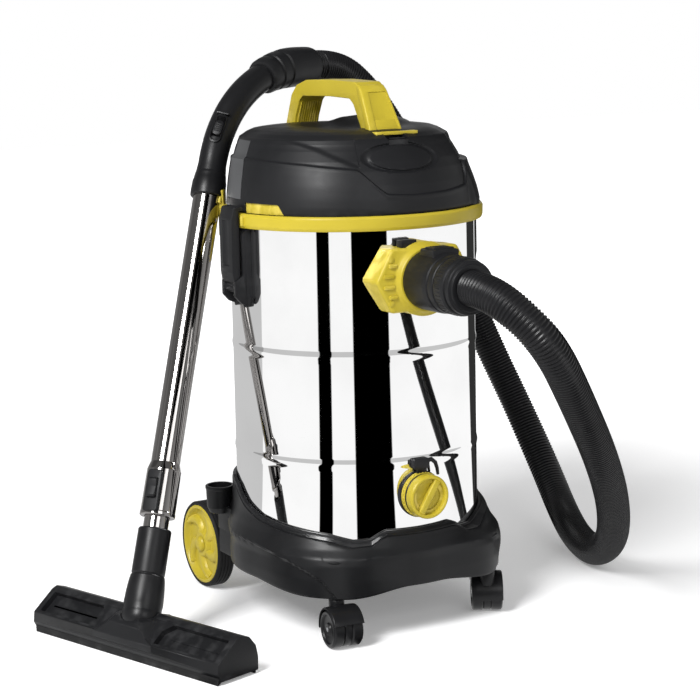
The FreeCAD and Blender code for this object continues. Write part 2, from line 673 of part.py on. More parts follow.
def castor_wheels(side):
    label = f"castor_wheels_{side}"
    wheels = castor_pair(label, side, "castor_radius", "castor_web + clearance",
                         "castor_web + castor_wide - clearance", "castor_pin + running")
    wheels.Label = label
    castor_frame(wheels, side)
    PARTS.append(wheels)


def castor_axle(side):
    body = new_body(f"castor_axle_{side}", about_drum=False)
    castor_frame(body, side)
    reach = "castor_web + castor_wide - 1"
    column(body, "XZ", [("castor_trail", "castor_radius", "castor_pin")], f"({reach}) * -1", reach)


# ---------------------------------------------------------------- latches

def latch_bracket(side, sign):
    """Plate on the drum with two ears for the latch's pin."""
    body = new_body(f"latch_bracket_{side}")
    tall = ("bracket_foot", "bracket_top")
    if sign > 0:
        plate = rectangle("150", "bracket_face", "-20", "20")
        ears = [rectangle("150", "latch_outer", low, high) for low, high in (("-20", "-14"), ("14", "20"))]
    else:
        plate = rectangle("bracket_face * -1", "-150", "-20", "20")
        ears = [rectangle("latch_outer * -1", "-150", low, high) for low, high in (("-20", "-14"), ("14", "20"))]
    block(body, "XY", plate, *tall)
    for ear in ears:
        block(body, "XY", ear, "latch_pin_height - 10", "latch_pin_height + 10")
    trim_to_drum(body, "drum_radius + clearance")
    pin = [(f"latch_pin_out * {sign}", "latch_pin_height", "latch_pin_radius")]
    bore(body, "XZ", pin, "-30", "30")


def latch_pins():
    """Two pivot pins pressed into the latch brackets."""
    pins = []
    for _, sign in SIDES:
        pin = DOC.addObject("Part::Cylinder", "latch_pin")
        pin.setExpression("Radius", bound("latch_pin_radius"))
        pin.setExpression("Height", bound("40"))
        pin.Placement = FreeCAD.Placement(FreeCAD.Vector(), FORWARD)
        pin.setExpression("Placement.Base.x", bound(f"latch_pin_out * {sign}"))
        pin.setExpression("Placement.Base.y", bound("20"))
        pins.append(pin)
    group = DOC.addObject("Part::Compound", "latch_pins")
    group.Label = "latch_pins"
    group.Links = pins
    place(group, z="latch_pin_height")
    PARTS.append(group)


def latch(side, sign):
    """Lever whose hook holds the lid's ring down."""
    body = new_body(f"latch_{side}")
    inner, outer, reach = (f"{name} * {sign}" for name in ("latch_inner", "latch_outer", "latch_reach"))
    lip = "ring_top + latch_lift"
    arm = [
        (inner, "latch_pin_height + 12"), (outer, "latch_pin_height + 12"),
        (outer, f"{lip} + latch_hook"), (reach, f"{lip} + latch_hook"), (reach, lip), (inner, lip),
    ]
    block(body, "XZ", arm, "latch_half * -1", "latch_half")
    pin = (f"latch_pin_out * {sign}", "latch_pin_height")
    column(body, "XZ", [(*pin, "5")], "-13.7", "13.7")
    neck = rectangle(f"(latch_inner - 0.5) * {sign}", outer, "latch_pin_height", "latch_pin_height + 13")
    block(body, "XZ", neck, "-13.7", "13.7")
    bore(body, "XZ", [(*pin, "latch_pin_radius + running")], "-30", "30")


# ---------------------------------------------------------------- head

def lid_ring():
    """Wide skirted ring between the drum and the motor's hood."""
    body = new_body("lid_ring")
    turned(body, [
        ("ring_inner", "ring_bottom"), ("ring_radius", "ring_bottom"), ("ring_radius", "ring_top"),
        ("ring_hole", "ring_top"), ("ring_hole", "ring_top - ring_web"),
        ("ring_inner", "ring_top - ring_web"),
    ])


def lid_seal():
    """Rubber ring that the lid presses on the drum's rim."""
    body = new_body("lid_seal")
    turned(body, [
        ("drum_radius - 7", "drum_top"), ("drum_radius + 4", "drum_top"),
        ("drum_radius + 4", "drum_top + seal_height"), ("drum_radius - 7", "drum_top + seal_height"),
    ])


def hood_sections(shrink, bottom="ring_top", top="ring_top + hood_height"):
    """Heights, radii and offsets of the hood's outline, drawn in by a wall."""
    steps = [
        (0.2, 166.3, 0.07), (0.52, 160, 0.26), (0.76, 150, 0.6), (0.9, 141, 0.8), (0.98, 122, 0.95),
    ]
    sections = [(bottom, f"hood_radius - ({shrink})", "0")]
    for part, radius, lean in steps:
        height = f"ring_top + hood_height * {part} - ({shrink}) * {max(0, part - 0.5):.2f}"
        sections.append((height, f"hood_radius * {radius / 168:.5f} - ({shrink})", f"hood_lean * {lean}"))
    sections.append((f"{top} - ({shrink})", f"hood_radius * {98 / 168:.5f} - ({shrink}) * 0.5", "hood_lean"))
    return sections


def motor_hood():
    """Domed hollow cover over the motor."""
    body = new_body("motor_hood")
    stack(body, "Additive", hood_sections("0"))
    stack(body, "Subtractive", hood_sections("hood_wall", "ring_top - 1"))
    bore(body, "XZ", [("0", "gland_height", "gland_radius + clearance")], "gland_face * -1 - 30", "gland_face * -1 + 48")
    well = rectangle("switch_half * -1", "switch_half", "switch_face * -1", "switch_back * -1")
    slot(body, "XY", well, "switch_floor", "ring_top + hood_height + 5")


def carry_handle():
    """Arched handle over the hood, narrow at the back and spread at its front foot."""
    body = new_body("carry_handle")
    block(body, "YZ", [
        ("grip_front", "grip_top - 79"), ("grip_front + 8", "grip_top - 57"),
        ("grip_front + 38", "grip_top - 7"), ("grip_front + 50", "grip_top"),
        ("grip_rear - 67", "grip_top"), ("grip_rear - 40", "grip_top - 7"),
        ("grip_rear - 24", "grip_top - 21"), ("grip_rear", "grip_top - 79"),
        ("grip_rear - 26", "grip_top - 79"), ("grip_rear - 34", "grip_under - 29"),
        ("grip_rear - 46", "grip_under - 7"), ("grip_rear - 56", "grip_under"),
        ("grip_front + 66", "grip_under"), ("grip_front + 56", "grip_under - 7"),
        ("grip_front + 34", "grip_under - 42"), ("grip_front + 26", "grip_top - 79"),
    ], "grip_half * -1", "grip_half")
    stack(body, "Subtractive", hood_sections("clearance * -1", "ring_top - 1"))


def motor_plate():
    """Plate under the motor that closes the hood."""
    body = new_body("motor_plate")
    rings = [("0", "0", "plate_radius"), ("0", "0", "eye_radius")]
    column(body, "XY", rings, "ring_top", "ring_top + plate_height")


def fan_housing():
    """Can round the impeller."""
    body = new_body("fan_housing")
    floor = "ring_top + plate_height"
    turned(body, [
        ("eye_radius", floor), ("fan_can_radius", floor), ("fan_can_radius", f"{floor} + fan_can_height"),
        ("shaft_radius + 2", f"{floor} + fan_can_height"),
        ("shaft_radius + 2", f"{floor} + fan_can_height - 2"),
        ("fan_can_radius - 2", f"{floor} + fan_can_height - 2"), ("fan_can_radius - 2", f"{floor} + 2"),
        ("eye_radius", f"{floor} + 2"),
    ])
    outlets = slot(body, "XZ", rectangle("-12", "12", f"{floor} + 8", f"{floor} + 22"), "40", "90")
    repeat_about_z(body, outlets, 6)


def impeller():
    """Two discs with eight straight blades between them."""
    body = new_body("impeller")
    low = "ring_top + plate_height + 6"
    hub = "shaft_radius"
    turned(body, [
        (hub, f"{low} + 14"), ("12", f"{low} + 14"), ("12", f"{low} + 14.5"),
        ("fan_radius", f"{low} + 14.5"), ("fan_radius", f"{low} + 16"), (hub, f"{low} + 16"),
    ])
    blade = block(body, "XY", rectangle("24", "fan_radius - 1", "-0.8", "0.8"), f"{low} + 1", f"{low} + 15")
    repeat_about_z(body, blade, 8)
    rings = [("0", "0", "fan_radius"), ("0", "0", "eye_radius + 3")]
    column(body, "XY", rings, low, f"{low} + 1.5")


def motor_shaft():
    body = new_body("motor_shaft")
    low = "ring_top + plate_height + 12"
    column(body, "XY", [("0", "0", "shaft_radius")], low, f"{low} + 32")


def motor():
    """Motor can on the fan housing, bored for its shaft."""
    body = new_body("motor")
    foot = "ring_top + plate_height + fan_can_height"
    column(body, "XY", [("0", "0", "motor_radius")], foot, f"{foot} + motor_height")
    bore(body, "XY", [("0", "0", "shaft_radius + running")], f"{foot} - 1", f"{foot} + 16")


def filter_cage():
    """Slotted cage under the lid that carries the filter and guides the float."""
    body = new_body("filter_cage")
    turned(body, [
        ("cage_radius - cage_wall", "cage_bottom + cage_wall"), ("eye_radius + 2", "cage_bottom + cage_wall"),
        ("eye_radius + 2", "cage_bottom"), ("cage_radius", "cage_bottom"),
        ("cage_radius", "ring_top - 3"), ("cage_flange", "ring_top - 3"), ("cage_flange", "ring_top"),
        ("cage_radius - cage_wall", "ring_top"),
    ])
    windows = slot(body, "XZ", rectangle("-12", "12", "cage_bottom + 35", "ring_top - 22"), "30", "70")
    repeat_about_z(body, windows, 6)


def filter_cartridge():
    """Pleated cartridge round the cage."""
    body = new_body("filter_cartridge")
    turned(body, [
        ("cage_radius + clearance", "cage_bottom + 6"), ("filter_radius", "cage_bottom + 6"),
        ("filter_radius", "ring_top - 6"), ("cage_radius + clearance", "ring_top - 6"),
    ])


def shutoff_float():
    """Float that rises in the cage and shuts the fan's eye."""
    body = new_body("float")
    low = "cage_bottom + cage_wall + clearance"
    column(body, "XY", [("0", "0", "float_radius")], low, f"{low} + float_height")


def cable_gland():
    """Strain relief in the hood's back wall."""
    body = new_body("cable_gland", about_drum=False)
    place(body, z="gland_height", rotation=FORWARD)
    turned(body, [
        ("4", "gland_face * -1 - 12"), ("gland_radius - 2", "gland_face * -1 - 12"),
        ("gland_radius + 3", "gland_face * -1"), ("gland_radius", "gland_face * -1"),
        ("gland_radius", "gland_face * -1 + 14"), ("4", "gland_face * -1 + 14"),
    ])


def switch_housing():
    """Open box round the rocker, set in the hood's front shoulder."""
    body = new_body("switch_housing")
    side, front, back = "switch_half - clearance", "(switch_face - clearance) * -1", "(switch_back + clearance) * -1"
    block(body, "XY", rectangle(f"({side}) * -1", side, front, back), "switch_floor", "switch_top")
    inner = rectangle("(switch_half - switch_wall) * -1", "switch_half - switch_wall",
                      "(switch_face - switch_wall) * -1", "(switch_back + switch_wall) * -1")
    slot(body, "XY", inner, "switch_floor + 2", "switch_top + 1")


def rocker():
    """Rocker of the on and off switch, tipping about its middle."""
    body = new_body("rocker")
    middle = "0.5 * (switch_face + switch_back) * -1"
    side = "switch_half - switch_wall - 2 * clearance"
    block(body, "YZ", [
        (f"{middle} - 6", "switch_floor + 5"), (f"{middle} + 6", "switch_floor + 5"),
        (f"{middle} + 7.2", "switch_top"), (f"{middle}", "switch_top - 1"), (f"{middle} - 7.2", "switch_top + 2.5"),
    ], f"({side}) * -1", side)


# ---------------------------------------------------------------- wand

def on_wand(body):
    """Stand a body at the wand's top, its own Z pointing down the tube."""
    place(body, "wand_top_x", "wand_top_y", "wand_top_z", DOWN_WAND)


def sleeve_outline(radius, bore_radius, start, end):
    return [(bore_radius, start), (radius, start), (radius, end), (bore_radius, end)]


def wand_outer_tube():
    body = new_body("wand_outer_tube", about_drum=False)
    on_wand(body)
    turned(body, sleeve_outline("tube_radius", "tube_radius - tube_wall", "0", "sleeve_end - 20"))


def wand_sleeve():
    """Moulded sleeve at the outer tube's lower end, open for the lock button."""
    body = new_body("wand_sleeve", about_drum=False)
    on_wand(body)
    turned(body, [
        ("tube_radius", "sleeve_top"), ("sleeve_radius - 1.5", "sleeve_top"),
        ("sleeve_radius", "sleeve_top + 4"), ("sleeve_radius", "sleeve_end"),
        ("inner_radius + clearance", "sleeve_end"), ("inner_radius + clearance", "sleeve_end - 18"),
        ("tube_radius", "sleeve_end - 18"),
    ])
    column(body, "XY", [("lock_out", "0", "lock_half + 2.5")], "sleeve_top + 8", "sleeve_end - 6")
    bore(body, "XY", [("0", "0", "tube_radius")], "sleeve_top - 1", "sleeve_end - 18")
    bore(body, "XY", [("0", "0", "inner_radius + clearance")], "sleeve_top - 1", "sleeve_end + 1")
    slot(body, "XY", rectangle("tube_radius + 2", "lock_out + lock_half + 4", "lock_half * -1", "lock_half"),
         "sleeve_top + 16", "sleeve_end - 14")


def lock_button():
    """Button pushed along the sleeve to let the inner tube slide."""
    body = new_body("lock_button", about_drum=False)
    on_wand(body)
    wide = "lock_half - clearance"
    block(body, "XY", rectangle("tube_radius + 2 + clearance", "lock_out + lock_half + 4", f"({wide}) * -1", wide),
          "sleeve_top + 16 + clearance", "sleeve_end - 14 - 7")


def wand_inner_tube():
    body = new_body("wand_inner_tube", about_drum=False)
    on_wand(body)
    turned(body, sleeve_outline("inner_radius", "inner_radius - tube_wall", "inner_top", "inner_end"))


def wand_guide_bush():
    """Bush at the inner tube's upper end that runs in the outer tube."""
    body = new_body("wand_guide_bush", about_drum=False)
    on_wand(body)
    turned(body, sleeve_outline("tube_radius - tube_wall - running * 2", "inner_radius", "inner_top", "inner_top + 10"))


def neck_elbow():
    """Socket on the inner tube, narrowing to the hinge barrel of the floor tool."""
    tube = wand_solid([("inner_radius", "neck_top"), ("neck_radius", "neck_top"),
                       ("neck_radius", "neck_end"), ("inner_radius + 1", "neck_end + 18"),
                       ("hinge_radius - 3", "wand_length"), ("hinge_radius - 6", "wand_length"),
                       ("inner_radius - 4", "inner_end + 1"), ("inner_radius", "inner_end + 1")])
    radius, half = number("hinge_radius"), number("hinge_half")
    barrel = across_nozzle(Part.makeCylinder(radius, 2 * half, FreeCAD.Vector(-half, 0, 0), X_AXIS))
    hollow = across_nozzle(Part.makeCylinder(number("hinge_pin"), 2 * half + 2, FreeCAD.Vector(-half - 1, 0, 0), X_AXIS))
    shaped("neck_elbow", tube.fuse(barrel).cut(hollow).removeSplitter())


def wand_solid(corners):
    """Turn an (r, s) outline about the wand's axis, s running down from its top."""
    points = [FreeCAD.Vector(number(r), 0, number(s)) for r, s in corners]
    face = Part.Face(Part.makePolygon(points + points[:1]))
    solid = face.revolve(FreeCAD.Vector(), FreeCAD.Vector(0, 0, 1), 360)
    solid.Placement = FreeCAD.Placement(WAND_TOP, DOWN_WAND)
    return solid


def across_nozzle(shape):
    """Carry a shape from the floor tool's own frame to its place under the neck."""
    turn = FreeCAD.Rotation(FreeCAD.Vector(0, 0, 1), number("nozzle_turn"))
    shape.Placement = FreeCAD.Placement(WAND_FOOT, turn).multiply(shape.Placement)
    return shape


# ------------------------------------------------------------- floor tool

def on_nozzle(body):
    """Stand a body on the floor under the neck, its own X along the tool's width."""
    turn = FreeCAD.Rotation(FreeCAD.Vector(0, 0, 1), number("nozzle_turn"))
    place(body, "foot_x", "foot_y", "0", turn)


def nozzle_body():
    """Wide shallow floor tool with a raised yoke for the neck."""
    body = new_body("nozzle_body", about_drum=False)
    on_nozzle(body)
    block(body, "YZ", [
        ("nozzle_front * -1", "nozzle_foot"), ("nozzle_back", "nozzle_foot"),
        ("nozzle_back", "nozzle_height - 12"), ("nozzle_back - 8", "nozzle_height - 4"),
        ("nozzle_front * -1 + 14", "nozzle_height - 4"), ("nozzle_front * -1 + 3", "nozzle_height - 14"),
        ("nozzle_front * -1", "nozzle_foot + 8"),
    ], "nozzle_half * -1", "nozzle_half")
    block(body, "YZ", [
        ("-19", "nozzle_foot + 5"), ("19", "nozzle_foot + 5"), ("17", "hinge_height + 4"),
        ("8", "hinge_height + 10"), ("-8", "hinge_height + 10"), ("-17", "hinge_height + 4"),
    ], "hinge_half * -1 - 10", "hinge_half + 10")
    gap = "hinge_half + 2 * clearance"
    slot(body, "XY", rectangle(f"({gap}) * -1", gap, "-28", "28"), "hinge_height - hinge_radius - 3", "hinge_height + 20")
    slot(body, "XY", rectangle("nozzle_half * -1 + 8", "nozzle_half - 8", "nozzle_front * -1 + 12", "nozzle_back - 12"),
         "nozzle_foot - 1", "nozzle_foot + 12")
    slot(body, "XY", rectangle("-13", "13", "-13", "13"), "nozzle_foot", "hinge_height")
    bore(body, "YZ", [("0", "hinge_height", "hinge_pin")], "-60", "60")


def nozzle_pin():
    """Pin through the yoke and the neck's barrel."""
    body = new_body("nozzle_pin", about_drum=False)
    on_nozzle(body)
    column(body, "YZ", [("0", "hinge_height", "hinge_pin - running")], "hinge_half * -1 - 10", "hinge_half + 10")


def nozzle_strips():
    """Two rubber strips under the floor tool's long edges."""
    strips = []
    for back in ("nozzle_front * -1 + 2", "nozzle_back - 2 - strip_thick"):
        strip = DOC.addObject("Part::Box", "nozzle_strip")
        strip.setExpression("Length", bound("nozzle_half * 2 - 6"))
        strip.setExpression("Width", bound("strip_thick"))
        strip.setExpression("Height", bound("nozzle_foot"))
        strip.setExpression("Placement.Base.x", bound("nozzle_half * -1 + 3"))
        strip.setExpression("Placement.Base.y", bound(back))
        strips.append(strip)
    group = DOC.addObject("Part::Compound", "nozzle_strips")
    group.Label = "nozzle_strips"
    group.Links = strips
    on_nozzle(group)
    PARTS.append(group)


# ------------------------------------------------------- handle and hose

def handle_frame():
    """Centre, plane and first direction of the wand handle's bend."""
    up = WAND_AXIS
    side = BEND_SIDE - up * BEND_SIDE.dot(up)
    side.normalize()
    start = WAND_TOP + up * number("handle_straight")
    return start, up, side


def handle_point(turn):
    """Point on the bend and its direction, at an angle turned from the tube."""
    start, up, side = handle_frame()
    angle, radius = math.radians(turn), number("bend_radius")
    point = start + side * (radius * (1 - math.cos(angle))) + up * (radius * math.sin(angle))
    return point, up * math.cos(angle) + side * math.sin(angle)


def pipe_along(edges, radius):
    """A round solid swept along edges that join smoothly."""
    path = Part.Wire(edges)
    start = edges[0].valueAt(edges[0].FirstParameter)
    heading = edges[0].tangentAt(edges[0].FirstParameter)
    section = Part.Wire(Part.makeCircle(radius, start, heading))
    return path.makePipeShell([section], True, True)


def bend_edges(first, last, lead=0.0, tail=0.0):
    """Straight lead, arc and straight tail along the handle's line."""
    edges = []
    points = [handle_point(turn)[0] for turn in (first, 0.5 * (first + last), last)]
    start_way, end_way = handle_point(first)[1], handle_point(last)[1]
    if lead:
        edges.append(Part.makeLine(points[0] - start_way * lead, points[0]))
    edges.append(Part.Arc(*points).toShape())
    if tail:
        edges.append(Part.makeLine(points[2], points[2] + end_way * tail))
    return edges


def wand_handle():
    """Bent hollow tube on top of the wand, with a flat for the air slide."""
    bend, straight = number("bend_turn"), number("handle_straight")
    outer = pipe_along(bend_edges(0, bend, lead=straight), number("handle_radius"))
    reach = straight + number("handle_spigot")
    spigot = pipe_along([Part.makeLine(WAND_TOP - WAND_AXIS * number("handle_spigot"),
                                       WAND_TOP + WAND_AXIS * 6)], number("tube_radius - tube_wall") - 0.05)
    inner = pipe_along(bend_edges(0, bend, lead=reach + 2, tail=2), number("handle_bore"))
    shell = outer.fuse(spigot).cut(inner)
    shaped("wand_handle", shell.cut(slide_bed(0.0)).removeSplitter())


def slide_seat():
    """Middle of the air slide's bed on the handle, its outward way and its own up."""
    point, way = handle_point(number("slide_turn"))
    _, _, side = handle_frame()
    out = way.cross(handle_frame()[1].cross(side)).normalize()
    out = out if out.dot(side) < 0 else out * -1
    return point, way, out


def slide_block(length, width, low, high):
    """A box on the handle, along it, across it and out from its middle line."""
    point, way, out = slide_seat()
    across = way.cross(out)
    box = Part.makeBox(length, width, high - low, FreeCAD.Vector(-length / 2, -width / 2, low))
    turn = FreeCAD.Rotation(way, out.cross(way), out, "ZXY")
    box.Placement = FreeCAD.Placement(point, turn)
    return box


def slide_bed(grow):
    return slide_block(46 + grow, 16 + grow, number("handle_radius - slide_bed"), number("handle_radius") + 6)


def air_slide():
    """Small slide on the handle that lets air in to lower the suction."""
    radius = number("handle_radius")
    shaped("air_slide", slide_block(30, 15, number("handle_radius - slide_bed + clearance"), radius + 3))


def hose_cuff():
    """Grip that joins the hose to the handle's end."""
    bend, turn = number("bend_turn"), number("cuff_turn")
    straight, radius = number("cuff_straight"), number("cuff_radius")
    outer = pipe_along(bend_edges(bend - turn, bend, tail=straight), radius)
    inner = pipe_along(bend_edges(bend - turn - 1, bend, tail=straight), number("handle_radius + clearance"))
    end, way = handle_point(bend)
    mouth = Part.makeCylinder(number("hose_radius") + 0.3, straight - 12, end + way * 14, way)
    shaped("hose_cuff", outer.cut(inner).cut(mouth).removeSplitter())


def hose_points():
    """Corners of the hose's route from the collar to the cuff."""
    end, way = handle_point(number("bend_turn"))
    corners = [FreeCAD.Vector(*corner) for corner in HOSE_ROUTE]
    return corners + [end + way * number("cuff_straight")]


def hose_edges(corners):
    """Straight runs joined by tangent arcs, one arc at every corner."""
    edges, last = [], corners[0]
    for before, corner, after in zip(corners, corners[1:], corners[2:]):
        back, ahead = (before - corner), (after - corner)
        shorter = min(back.Length, ahead.Length)
        back.normalize()
        ahead.normalize()
        half_turn = 0.5 * (math.pi - back.getAngle(ahead))
        radius = 0.45 * shorter / math.tan(half_turn)
        trim = 0.45 * shorter
        start, end = corner + back * trim, corner + ahead * trim
        inward = (back + ahead).normalize()
        centre = corner + inward * (radius / math.cos(half_turn))
        middle = centre - inward * radius
        edges.append(Part.LineSegment(last, start).toShape())
        edges.append(Part.Arc(start, middle, end).toShape())
        print("hose corner", [round(value) for value in corner], "bend radius", round(radius))
        last = end
    edges.append(Part.LineSegment(last, corners[-1]).toShape())
    return edges


def hose():
    """Corrugated hose, drawn as a plain round sweep between its two ends."""
    edges = hose_edges(hose_points())
    sweep = pipe_along(edges, number("hose_radius"))
    length = sum(edge.Length for edge in edges)
    print("hose length", round(length), "volume share", round(sweep.Volume / (length * math.pi * number("hose_radius") ** 2), 4))
    shaped("hose", sweep)


def park_clip():
    """Open clip on the drum's rear that holds the parked wand clear of the lid's ring."""
    height, radius = number("clip_height"), number("tube_radius")
    start, past_ring = number("drum_radius + clearance"), number("ring_radius + 1")
    near = WAND_TOP - WAND_AXIS * ((WAND_TOP.z - height) / WAND_AXIS.z)
    turn = FreeCAD.Rotation(Z_AXIS, number("clip_turn"))
    plate = Part.makeBox(16, 36, 56, FreeCAD.Vector(start - 9, -18, height - 90))
    foot = Part.makeBox(past_ring + 4 - start, 12, 20, FreeCAD.Vector(start, -6, height - 56))
    shaft = Part.makeBox(6, 12, 66, FreeCAD.Vector(past_ring, -6, height - 56))
    mouth = Part.makeBox(60, 27, 60, FreeCAD.Vector(math.hypot(near.x, near.y) + 6, -13.5, height - 30))
    for piece in (plate, foot, shaft, mouth):
        piece.Placement = FreeCAD.Placement(FreeCAD.Vector(), turn)
    ring = Part.makeCylinder(radius + 3.5, 24, near - WAND_AXIS * 12, WAND_AXIS)
    tube = Part.makeCylinder(radius + 0.3, 300, near - WAND_AXIS * 150, WAND_AXIS)
    body = plate.fuse([foot, shaft, ring]).cut([mouth, tube])
    body = body.cut(Part.makeCylinder(start, 800))
    body = body.cut(Part.makeCylinder(past_ring, 60, FreeCAD.Vector(0, 0, number("ring_bottom - 4"))))
    shaped("park_clip", body.removeSplitter())


# ---------------------------------------------------------------- assembly

def build():
    base()
    drum()
    inlet_housing()
    inlet_gasket()
    inlet_screws()
    inlet_deflector()
    hose_connector()
    release_button()
    hose_collar()
    drain_spout()
    drain_seal()
    drain_cap()
    cap_strap()
    rear_axle()
    axle_caps()
    for side, sign in SIDES:
        rear_tyre(side, sign)
        rear_hub(side, sign)
        castor_fork(side)
        castor_wheels(side)
        castor_axle(side)
        latch_bracket(side, sign)
        latch(side, sign)
    latch_pins()
    lid_ring()
    lid_seal()
    motor_hood()
    carry_handle()
    motor_plate()
    fan_housing()
    impeller()
    motor_shaft()
    motor()
    filter_cage()
    filter_cartridge()
    shutoff_float()
    cable_gland()
    switch_housing()
    rocker()
    wand_outer_tube()
    wand_sleeve()
    lock_button()
    wand_inner_tube()
    wand_guide_bush()
    neck_elbow()
    nozzle_body()
    nozzle_pin()
    nozzle_strips()
    wand_handle()
    air_slide()
    hose_cuff()
    hose()
    park_clip()


def check():
    """Stop on any feature or shape that has gone wrong."""
    for item in DOC.Objects:
        if {"Invalid", "Error"} & set(item.State):
            raise RuntimeError(f"{item.Label} is {item.State}")
    for part in PARTS:
        if part.Shape.isNull() or not part.Shape.isValid():
            raise RuntimeError(f"{part.Label} has no sound shape")


def export():
    os.makedirs("parts", exist_ok=True)
    for part in PARTS:
        part.Shape.exportStep(f"parts/{part.Label}.step")
        box = part.Shape.BoundBox
        print(part.Label, len(part.Shape.Solids), [round(value, 1) for value in (
            box.XMin, box.XMax, box.YMin, box.YMax, box.ZMin, box.ZMax)])


build()
DOC.recompute()
check()
export()
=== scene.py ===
"""A wet and dry shop vacuum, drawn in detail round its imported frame."""
import json
from math import atan2, cos, hypot, pi, radians, sin, tan

import bmesh
import bpy
from mathutils import Matrix, Vector

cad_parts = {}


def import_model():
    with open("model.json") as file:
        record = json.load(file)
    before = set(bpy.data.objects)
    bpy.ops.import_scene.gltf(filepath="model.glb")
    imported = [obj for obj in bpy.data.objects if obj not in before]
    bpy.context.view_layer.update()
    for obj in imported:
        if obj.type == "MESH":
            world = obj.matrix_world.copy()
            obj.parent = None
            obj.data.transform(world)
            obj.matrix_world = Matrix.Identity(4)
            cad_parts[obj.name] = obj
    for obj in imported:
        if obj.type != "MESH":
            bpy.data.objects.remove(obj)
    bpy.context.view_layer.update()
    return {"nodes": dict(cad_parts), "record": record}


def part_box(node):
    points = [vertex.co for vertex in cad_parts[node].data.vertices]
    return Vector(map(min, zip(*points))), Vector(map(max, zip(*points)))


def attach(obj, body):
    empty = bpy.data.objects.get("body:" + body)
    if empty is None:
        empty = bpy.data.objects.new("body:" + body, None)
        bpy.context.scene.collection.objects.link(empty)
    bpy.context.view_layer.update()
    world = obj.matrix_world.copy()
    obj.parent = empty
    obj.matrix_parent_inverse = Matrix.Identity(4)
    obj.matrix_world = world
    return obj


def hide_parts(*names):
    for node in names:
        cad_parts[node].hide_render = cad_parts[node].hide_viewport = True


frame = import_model()
SCENE = bpy.context.scene
DRUM_LOW, DRUM_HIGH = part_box("drum")
AXIS = Vector(((DRUM_LOW.x + DRUM_HIGH.x) / 2, (DRUM_LOW.y + DRUM_HIGH.y) / 2, 0))
MM = 0.001


# ------------------------------------------------------------------ places

class Place:
    """A frame given in millimetres from the drum's axis on the floor."""

    def __init__(self, origin=(0, 0, 0), x=(1, 0, 0), z=(0, 0, 1)):
        self.origin = Vector(origin)
        self.z = Vector(z).normalized()
        self.x = (Vector(x) - self.z * Vector(x).dot(self.z)).normalized()
        self.y = self.z.cross(self.x)

    def inner(self, point):
        return self.origin + self.x * point[0] + self.y * point[1] + self.z * point[2]

    def to(self, point):
        return AXIS + self.inner(point) * MM


UPRIGHT = Place()
SIDES = {-1: "left", 1: "right"}
INLET = Place((0, 0, 473), (1, 0, 0), (0, -1, 0))
DRAIN = Place((0, 0, 187.5), (1, 0, 0), (0, -1, 0))
# The middle of each rear wheel, the stem of each castor and the pin of each latch.
WHEEL_REACH, WHEEL_BACK, WHEEL_UP = 140.2, 190.5, 61.5
WELL_RADIUS = 69.6
CASTOR_OUT, CASTOR_FRONT = 117, -145
LATCH_OUT, LATCH_PIN = 181, 456
# The wand runs from its socket in the handle down to the pivot of the floor tool.
WAND_TOP = Vector((-141, 141, 590))
WAND_FOOT = Vector((-345, -36, 46))
WAND_UP = (WAND_TOP - WAND_FOOT).normalized()
WAND = Place(WAND_TOP, (-0.78, -0.62, 0), -WAND_UP)
NOZZLE_TURN = radians(-72)
NOZZLE = Place((-345, -36, 0), (cos(NOZZLE_TURN), sin(NOZZLE_TURN), 0))

# The handle bends from the wand's line towards this side.
BEND_SIDE = Vector((0.8834, 0.2324, -0.4069))
BEND_SIDE = (BEND_SIDE - WAND_UP * BEND_SIDE.dot(WAND_UP)).normalized()
BEND_RADIUS = 218
BEND_TURN = 66
BEND_START = WAND_TOP + WAND_UP * 18


def bend_point(turn, past=0):
    """A point on the handle's bend after a turn in degrees, and the way it heads."""
    angle = radians(turn)
    way = WAND_UP * cos(angle) + BEND_SIDE * sin(angle)
    point = BEND_START + BEND_SIDE * (BEND_RADIUS * (1 - cos(angle)))
    return point + WAND_UP * (BEND_RADIUS * sin(angle)) + way * past, way


# ------------------------------------------------------------------ outlines

def rounded(corners, radius=1.0, steps=4):
    """A closed outline with its corners rounded; a corner may carry its own radius."""
    points = []
    count = len(corners)
    for index, corner in enumerate(corners):
        here = Vector(corner[:2])
        size = corner[2] if len(corner) > 2 else radius
        before = Vector(corners[index - 1][:2]) - here
        after = Vector(corners[(index + 1) % count][:2]) - here
        room = 0.48 * min(before.length, after.length)
        if size <= 0 or before.length < 1e-6 or after.length < 1e-6:
            points.append(tuple(here))
            continue
        before.normalize()
        after.normalize()
        half = 0.5 * before.angle(after)
        # A corner that is nearly straight or folded back stays as it is.
        if half > 1.55 or half < 0.02:
            points.append(tuple(here))
            continue
        trim = min(size / tan(half), room)
        size = trim * tan(half)
        centre = here + (before + after).normalized() * (size / sin(half))
        start, end = here + before * trim - centre, here + after * trim - centre
        sweep = start.angle_signed(end)
        for step in range(steps + 1):
            angle = -sweep * step / steps
            turn = Matrix.Rotation(angle, 2)
            points.append(tuple(centre + turn @ start))
    return points


def between(value, table):
    """Straight-line reading of a table of (key, value) rows."""
    if value <= table[0][0]:
        return table[0][1]
    for (low, first), (high, second) in zip(table, table[1:]):
        if value <= high:
            return first + (second - first) * (value - low) / (high - low)
    return table[-1][1]


def eased(value, low, high):
    share = min(1, max(0, (value - low) / (high - low)))
    return share * share * (3 - 2 * share)


# ------------------------------------------------------------------ solids

def grid(rows, closed=True, caps=False):
    """Faces over rows of points; each row closes on itself when closed."""
    verts = [point for row in rows for point in row]
    wide = len(rows[0])
    faces = []
    for row in range(len(rows) - 1):
        for index in range(wide if closed else wide - 1):
            after = (index + 1) % wide
            low, high = row * wide, (row + 1) * wide
            faces.append((low + index, low + after, high + after, high + index))
    if caps:
        faces.append(tuple(reversed(range(wide))))
        faces.append(tuple(range((len(rows) - 1) * wide, len(rows) * wide)))
    return verts, faces


